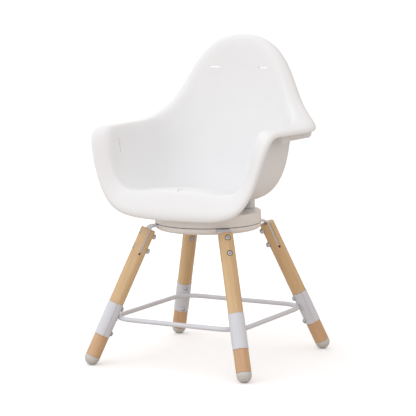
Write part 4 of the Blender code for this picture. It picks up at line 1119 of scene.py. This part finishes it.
class CHAIR_OT_legs(bpy.types.Operator):
    """Turns the four beech legs, each in an upper and a lower piece"""

    bl_idname = "highchair.legs"
    bl_label = "Beech Legs"

    def execute(self, context):
        facets = context.scene.highchair_workshop.leg_facets
        upper, lower = upper_leg_mesh(facets), lower_leg_mesh(facets)
        for leg in LEGS:
            for wood, level, finish in ((upper, "upper", "beech"), (lower, "lower", "beech_foot")):
                mesh = moved(wood.copy(), leg_frame(leg))
                set_grain(mesh, leg, 0.0 if level == "upper" else 2.3)
                set_piece(f"beech_{level}_{leg}", mesh, FINISHES[finish], "base", "beech",
                          f"{level}_leg_{leg}")
        return {"FINISHED"}


class CHAIR_OT_foot_caps(bpy.types.Operator):
    """Makes the four domed foot caps"""

    bl_idname = "highchair.foot_caps"
    bl_label = "Foot Caps"

    def execute(self, context):
        cap = foot_cap_mesh(context.scene.highchair_workshop.leg_facets)
        for leg in LEGS:
            set_piece(f"domed_cap_{leg}", moved(cap.copy(), leg_frame(leg)), FINISHES["cap"], "base", "cap",
                      f"foot_cap_{leg}")
        return {"FINISHED"}


# ---------------------------------------------------------------- sleeves and footrest

def half_sleeve(facing, facets):
    """Half of a sleeve: facing +1 for the outer half, -1 for the inner one."""
    inner, edge = SLEEVE_RADIUS - SLEEVE_WALL, 0.0003
    inset = SLEEVE_RADIUS - edge
    profile = [(inner, SLEEVE_BOTTOM), (inset, SLEEVE_BOTTOM), (SLEEVE_RADIUS, SLEEVE_BOTTOM + edge),
               (SLEEVE_RADIUS, SLEEVE_TOP - edge), (inset, SLEEVE_TOP), (inner, SLEEVE_TOP)]
    seam = SEAM / 2 / SLEEVE_RADIUS
    start = (-math.pi / 2 if facing > 0 else math.pi / 2) + seam
    return turned(profile, facets, start, math.pi - 2 * seam)


def outer_sleeve_mesh(facets):
    nuts, threads = [], []
    for height in SLEEVE_SCREW_HEIGHTS:
        nut = cylinder(NUT_HOLE_RADIUS - GAP, NUT_HOLE_START + GAP, SLEEVE_RADIUS - SLEEVE_WALL / 2, 24)
        nuts.append(along_x(nut, height))
        threads.append(along_x(cylinder(SCREW_HOLE_RADIUS, 0, 0.0143, 24), height))
    return combine(combine(half_sleeve(1, facets), nuts, "UNION"), threads, "DIFFERENCE")


def footrest_corner():
    """Distance from the swivel axis to the middle of the rod, on the diagonal."""
    here = LEG_SPREAD - FOOTREST_Z * math.tan(LEG_TILT)
    return here - SLEEVE_RADIUS / math.cos(LEG_TILT) - ROD_RADIUS + WELD_DEPTH


def footrest_rod():
    """The closed rod, bent by the rod tree from a plain square."""
    corner = footrest_corner() / math.sqrt(2)
    half = corner + FOOTREST_CORNER_RADIUS * (1 - 1 / math.sqrt(2))
    square = bpy.data.meshes.new("square")
    places = [(sx * half, sy * half, FOOTREST_Z) for sx, sy in ((1, 1), (-1, 1), (-1, -1), (1, -1))]
    square.from_pydata(places, [(0, 1), (1, 2), (2, 3), (3, 0)], [])
    return run_tree(square, rod_tree(), {
        "Rod Radius": ROD_RADIUS, "Bend Radius": FOOTREST_CORNER_RADIUS, "Bend Facets": 24, "Rod Facets": 32,
        "Finish": FINISHES["coat"]})


def weld_places(leg):
    """Where the weld's ripples lie: along the rod, above it and below it."""
    places = []
    turn = Matrix.Rotation(leg_angle(leg), 4, "Z")
    for above in (1, -1):
        z = FOOTREST_Z + above * 0.0052
        for number in range(9):
            side = (number - 4) * 0.0013
            here = LEG_SPREAD - z * math.tan(LEG_TILT) - SLEEVE_RADIUS / math.cos(LEG_TILT)
            curve = SLEEVE_RADIUS - math.sqrt(SLEEVE_RADIUS**2 - side**2)
            places.append(turn @ Matrix.Translation((here + curve - 0.0004, side, z)))
    return places


class CHAIR_OT_footrest(bpy.types.Operator):
    """Bends the footrest's rod and welds it to the inner sleeve halves"""

    bl_idname = "highchair.footrest"
    bl_label = "Footrest"

    def execute(self, context):
        facets = context.scene.highchair_workshop.leg_facets // 2 + 1
        halves, places = [], []
        for leg in LEGS:
            hole = cylinder(SCREW_HOLE_RADIUS, -2 * LEG_RADIUS, 0, 24)
            holes = [along_x(hole.copy(), height) for height in SLEEVE_SCREW_HEIGHTS]
            halves.append(moved(combine(half_sleeve(-1, facets), holes, "DIFFERENCE"), leg_frame(leg)))
            places += weld_places(leg)
        bead = turned([(0, -0.0011)] + arc((0, 0), 0.0013, -60, 60, 6) + [(0, 0.0011)], 12)
        welds = copies(bead, places, 1.0, "coat")
        rest = joined([footrest_rod(), *halves, welds])
        set_piece("footrest_ring", rest, FINISHES["coat"], "base", "steel_white", "footrest")
        return {"FINISHED"}


class CHAIR_OT_sleeves(bpy.types.Operator):
    """Makes the outer halves of the leg sleeves"""

    bl_idname = "highchair.sleeves"
    bl_label = "Sleeves"

    def execute(self, context):
        sleeve = outer_sleeve_mesh(context.scene.highchair_workshop.leg_facets // 2 + 1)
        for leg in LEGS:
            set_piece(f"sleeve_shell_{leg}", moved(sleeve.copy(), leg_frame(leg)), FINISHES["coat"], "base",
                      "steel_white", f"sleeve_outer_{leg}")
        return {"FINISHED"}


# ---------------------------------------------------------------- fasteners

def thread(radius, start, end, pitch):
    """The turned outline of a screw thread's crests and roots."""
    count = int((end - start) / pitch)
    root = radius * 0.88
    line = []
    for number in range(count):
        z = start + number * pitch
        line += [(radius, z), (radius, z + pitch * 0.3)]
        line += [(root, z + pitch * 0.6), (root, z + pitch * 0.75)]
    return line


def socket_screw(seat, tip, radius, head, height, dome, pitch, across, depth):
    """A screw along z with a round head at its low end, a hexagon socket and a threaded tip."""
    top = seat - height
    rounding = arc((head - dome, top + dome), dome, -90, -180, 6)
    line = [(0, top)] + [(2 * (head - dome) - x, z) for x, z in rounding]
    line += [(head, seat - 0.0003), (head - 0.0003, seat), (radius, seat)]
    line += thread(radius, tip - 0.008, tip - 0.0006, pitch) + [(radius * 0.8, tip), (0, tip)]
    shape = turned(line, 32)
    socket = turned([(0, top - 0.001), (across * 0.62, top - 0.001), (across * 0.56, top + 0.0004),
                     (across * 0.5, top + 0.0004), (across * 0.5, top + 0.0006), (0, top + 0.0006)], 32)
    shape = combine(shape, [hexagon(across, top - 0.001, top + depth), socket], "DIFFERENCE")
    return shape


def nut_and_washer():
    """A hexagon nut with chamfered corners on a flat washer, along z."""
    seat = LEG_RADIUS - SPOT_FACE_DEPTH + GAP
    bolt, low = BOLT_HOLE_RADIUS, seat + 0.0012
    high = low + 0.005
    washer = turned([(bolt, seat), (0.0058, seat), (0.006, seat + 0.0002), (0.006, low - 0.0002),
                     (0.0058, low), (bolt, low)], 40)
    bar = hexagon(0.010, low, high)
    cone = turned([(0, low - 0.001), (0.0056, low - 0.001), (0.0062, low + 0.0012), (0.0062, high - 0.0009),
                   (0.0050, high), (0, high)], 40)
    bar = combine(bar, [cone], "INTERSECT")
    bore = turned([(0, low - 0.002), (bolt, low - 0.002), (bolt, high - 0.0007), (0.0041, high + 0.0002),
                   (0, high + 0.0002)], 40)
    return joined([washer, combine(bar, [bore], "DIFFERENCE")])


class CHAIR_OT_fasteners(bpy.types.Operator):
    """Sets the leg bolts, their nuts and the sleeve screws"""

    bl_idname = "highchair.fasteners"
    bl_label = "Fasteners"

    def execute(self, context):
        pitch = context.scene.highchair_workshop.thread_pitch
        over = Matrix.Rotation(math.pi, 4, "Z")
        bolt_places, screw_places = [], []
        for leg in LEGS:
            for height in BOLT_HEIGHTS:
                bolt_places.append(leg_frame(leg) @ Matrix.Translation((0, 0, height)) @ over @ ALONG_X)
            for height in SLEEVE_SCREW_HEIGHTS:
                screw_places.append(leg_frame(leg) @ Matrix.Translation((0, 0, height)) @ ALONG_X)
        bolt = socket_screw(seat=-(LEG_RADIUS - COUNTERBORE_DEPTH) - GAP, tip=0.023, radius=0.003,
                            head=0.0047, height=0.0042, dome=0.0009, pitch=pitch, across=0.0044,
                            depth=0.0062)
        screw = socket_screw(seat=-SLEEVE_RADIUS - GAP, tip=0.0137, radius=0.0025,
                             head=0.0052, height=0.0038, dome=0.0024, pitch=pitch * 0.8, across=0.0035,
                             depth=0.0022)
        sets = {"leg_bolt": (bolt, bolt_places), "leg_nut": (nut_and_washer(), bolt_places),
                "sleeve_screw": (screw, screw_places)}
        for kind, (shape, places) in sets.items():
            nodes = [f"{kind}_{leg}_{level}" for leg in LEGS for level in LEVELS]
            set_piece(f"{kind}_set", copies(shape, places), FINISHES["zinc"], "base", "steel_bare", *nodes)
        return {"FINISHED"}


# ---------------------------------------------------------------- stage

def area_light(name, place, size, power, colour):
    """A square light that faces the middle of the chair."""
    lamp = bpy.data.lights.new(name, "AREA")
    lamp.shape = "SQUARE"
    lamp.size = size
    lamp.energy = power
    lamp.color = colour
    item = bpy.data.objects.new(name, lamp)
    bpy.context.scene.collection.objects.link(item)
    item.location = place
    item.rotation_euler = (Vector((0, 0, 0.4)) - Vector(place)).to_track_quat("-Z", "Y").to_euler()


def mix_by_ray(tree, lighting, seen, output):
    """Sends one shader to the rays that light the chair and the other to those that the camera sees."""
    mix = add(tree, "ShaderNodeMixShader")
    tree.links.new(add(tree, "ShaderNodeLightPath").outputs["Is Camera Ray"], mix.inputs["Fac"])
    tree.links.new(lighting, mix.inputs[1])
    tree.links.new(seen, mix.inputs[2])
    tree.links.new(mix.outputs["Shader"], output.inputs["Surface"])


def surroundings(strength):
    """Soft light from all round, strongest from the front left, which the camera sees as plain white."""
    world = bpy.data.worlds.new("surroundings")
    bpy.context.scene.world = world
    world.use_nodes = True
    tree = world.node_tree
    tree.nodes.clear()
    output = add(tree, "ShaderNodeOutputWorld")
    lit = add(tree, "ShaderNodeBackground")
    seen = add(tree, "ShaderNodeBackground")
    seen.inputs["Color"].default_value = (1, 1, 1, 1)
    seen.inputs["Strength"].default_value = 1.05
    facing = add(tree, "ShaderNodeVectorMath", operation="DOT_PRODUCT")
    facing.inputs[1].default_value = Vector((-0.40, -0.80, 0.45)).normalized()
    tree.links.new(add(tree, "ShaderNodeTexCoord").outputs["Generated"], facing.inputs[0])
    ramp = add(tree, "ShaderNodeValToRGB")
    ramp.color_ramp.elements[0].position = 0.15
    ramp.color_ramp.elements[0].color = (0.46, 0.41, 0.37, 1)
    ramp.color_ramp.elements[1].position = 0.95
    ramp.color_ramp.elements[1].color = (0.98, 0.99, 1.0, 1)
    tree.links.new(remap(tree, facing.outputs["Value"], -1.0, 1.0), ramp.inputs["Fac"])
    tree.links.new(ramp.outputs["Color"], lit.inputs["Color"])
    lit.inputs["Strength"].default_value = strength
    mix_by_ray(tree, lit.outputs["Background"], seen.outputs["Background"], output)


def floor_sheet():
    """A pale floor that is bright enough to melt into the background."""
    reach = 14.0
    points = [(-reach, -reach, 0), (reach, -reach, 0), (reach, reach, 0), (-reach, reach, 0)]
    mesh = bpy.data.meshes.new("floor_sheet")
    mesh.from_pydata(points, [], [(0, 1, 2, 3)])
    floor = bpy.data.objects.new("floor_sheet", mesh)
    bpy.context.scene.collection.objects.link(floor)
    made, tree, surface = shader("floor_paper")
    place = add(tree, "ShaderNodeTexCoord").outputs["Object"]
    tone = remap(tree, noise(tree, place, 3.0, 3.0), 0.3, 0.7, 0.985, 1.0)
    tree.links.new(toned(tree, (0.95, 0.95, 0.96), tone), surface.inputs["Base Color"])
    surface.inputs["Roughness"].default_value = 0.9
    surface.inputs["Specular IOR Level"].default_value = 0.1
    surface.inputs["Emission Color"].default_value = (1.0, 1.0, 1.0, 1.0)
    surface.inputs["Emission Strength"].default_value = 0.16
    bounce = add(tree, "ShaderNodeBsdfDiffuse")
    bounce.inputs["Color"].default_value = (0.62, 0.56, 0.51, 1)
    mix_by_ray(tree, bounce.outputs["BSDF"], surface.outputs["BSDF"], tree.nodes["Material Output"])
    mesh.materials.append(made)


def set_camera(lights):
    """The camera looks at a point above the middle of the floor."""
    turn, rise, roll = lights.azimuth, lights.elevation, lights.roll
    back = Vector((math.sin(turn) * math.cos(rise), -math.cos(turn) * math.cos(rise), math.sin(rise)))
    right = Vector((math.cos(turn), math.sin(turn), 0))
    up = back.cross(right)
    right, up = right * math.cos(roll) + up * math.sin(roll), up * math.cos(roll) - right * math.sin(roll)
    data = bpy.data.cameras.new("camera")
    data.lens = lights.lens
    data.sensor_width = 36.0
    data.clip_end = 100.0
    camera = bpy.data.objects.new("camera", data)
    bpy.context.scene.collection.objects.link(camera)
    place = Matrix((right, up, back)).transposed().to_4x4()
    place.translation = Vector((0, 0, lights.target)) + back * lights.distance
    camera.matrix_world = place
    bpy.context.scene.camera = camera


class CHAIR_OT_stage(bpy.types.Operator):
    """Sets the floor, the lights and the camera"""

    bl_idname = "highchair.stage"
    bl_label = "Stage"

    def execute(self, context):
        lights = context.scene.highchair_lights
        context.scene.view_settings.view_transform = "Standard"
        surroundings(lights.sky)
        floor_sheet()
        area_light("key_light", (-1.1, -2.6, 2.6), 1.8, lights.key, (0.94, 0.97, 1.0))
        area_light("back_light", (-1.2, 2.2, 1.9), 1.6, lights.rim, (1.0, 1.0, 1.0))
        set_camera(lights)
        return {"FINISHED"}


class CHAIR_PT_panel(bpy.types.Panel):
    """Lists the pieces of the chair and their sizes"""

    bl_idname = "CHAIR_PT_panel"
    bl_label = "High Chair"
    bl_space_type = "VIEW_3D"
    bl_region_type = "UI"
    bl_category = "High Chair"

    def draw(self, context):
        column = self.layout.column()
        for operator in OPERATORS:
            column.operator(operator.bl_idname)
        for name in ("highchair_shell", "highchair_workshop", "highchair_colours", "highchair_lights"):
            group = getattr(context.scene, name)
            section = self.layout.box().column()
            for key in group.__annotations__:
                section.prop(group, key)


OPERATORS = (
    CHAIR_OT_stage, CHAIR_OT_seat_shell, CHAIR_OT_tray_rails, CHAIR_OT_turntable, CHAIR_OT_hidden_steel,
    CHAIR_OT_legs, CHAIR_OT_foot_caps, CHAIR_OT_sleeves, CHAIR_OT_footrest, CHAIR_OT_fasteners,
)
GROUPS = {
    "highchair_shell": SHELL_PG_sizes, "highchair_workshop": WORKSHOP_PG_sizes,
    "highchair_colours": FINISH_PG_colours, "highchair_lights": STAGE_PG_lights,
}


def register():
    for name, group in GROUPS.items():
        bpy.utils.register_class(group)
        setattr(bpy.types.Scene, name, PointerProperty(type=group))
    for item in (*OPERATORS, CHAIR_PT_panel):
        bpy.utils.register_class(item)


def unregister():
    for item in reversed((*OPERATORS, CHAIR_PT_panel)):
        bpy.utils.unregister_class(item)
    for name, group in reversed(GROUPS.items()):
        delattr(bpy.types.Scene, name)
        bpy.utils.unregister_class(group)


def main():
    register()
    make_finishes(bpy.context.scene.highchair_colours)
    bpy.ops.highchair.stage()
    bpy.ops.highchair.seat_shell()
    bpy.ops.highchair.tray_rails()
    bpy.ops.highchair.turntable()
    bpy.ops.highchair.hidden_steel()
    bpy.ops.highchair.legs()
    bpy.ops.highchair.foot_caps()
    bpy.ops.highchair.sleeves()
    bpy.ops.highchair.footrest()
    bpy.ops.highchair.fasteners()


if __name__ == "__main__":
    main()
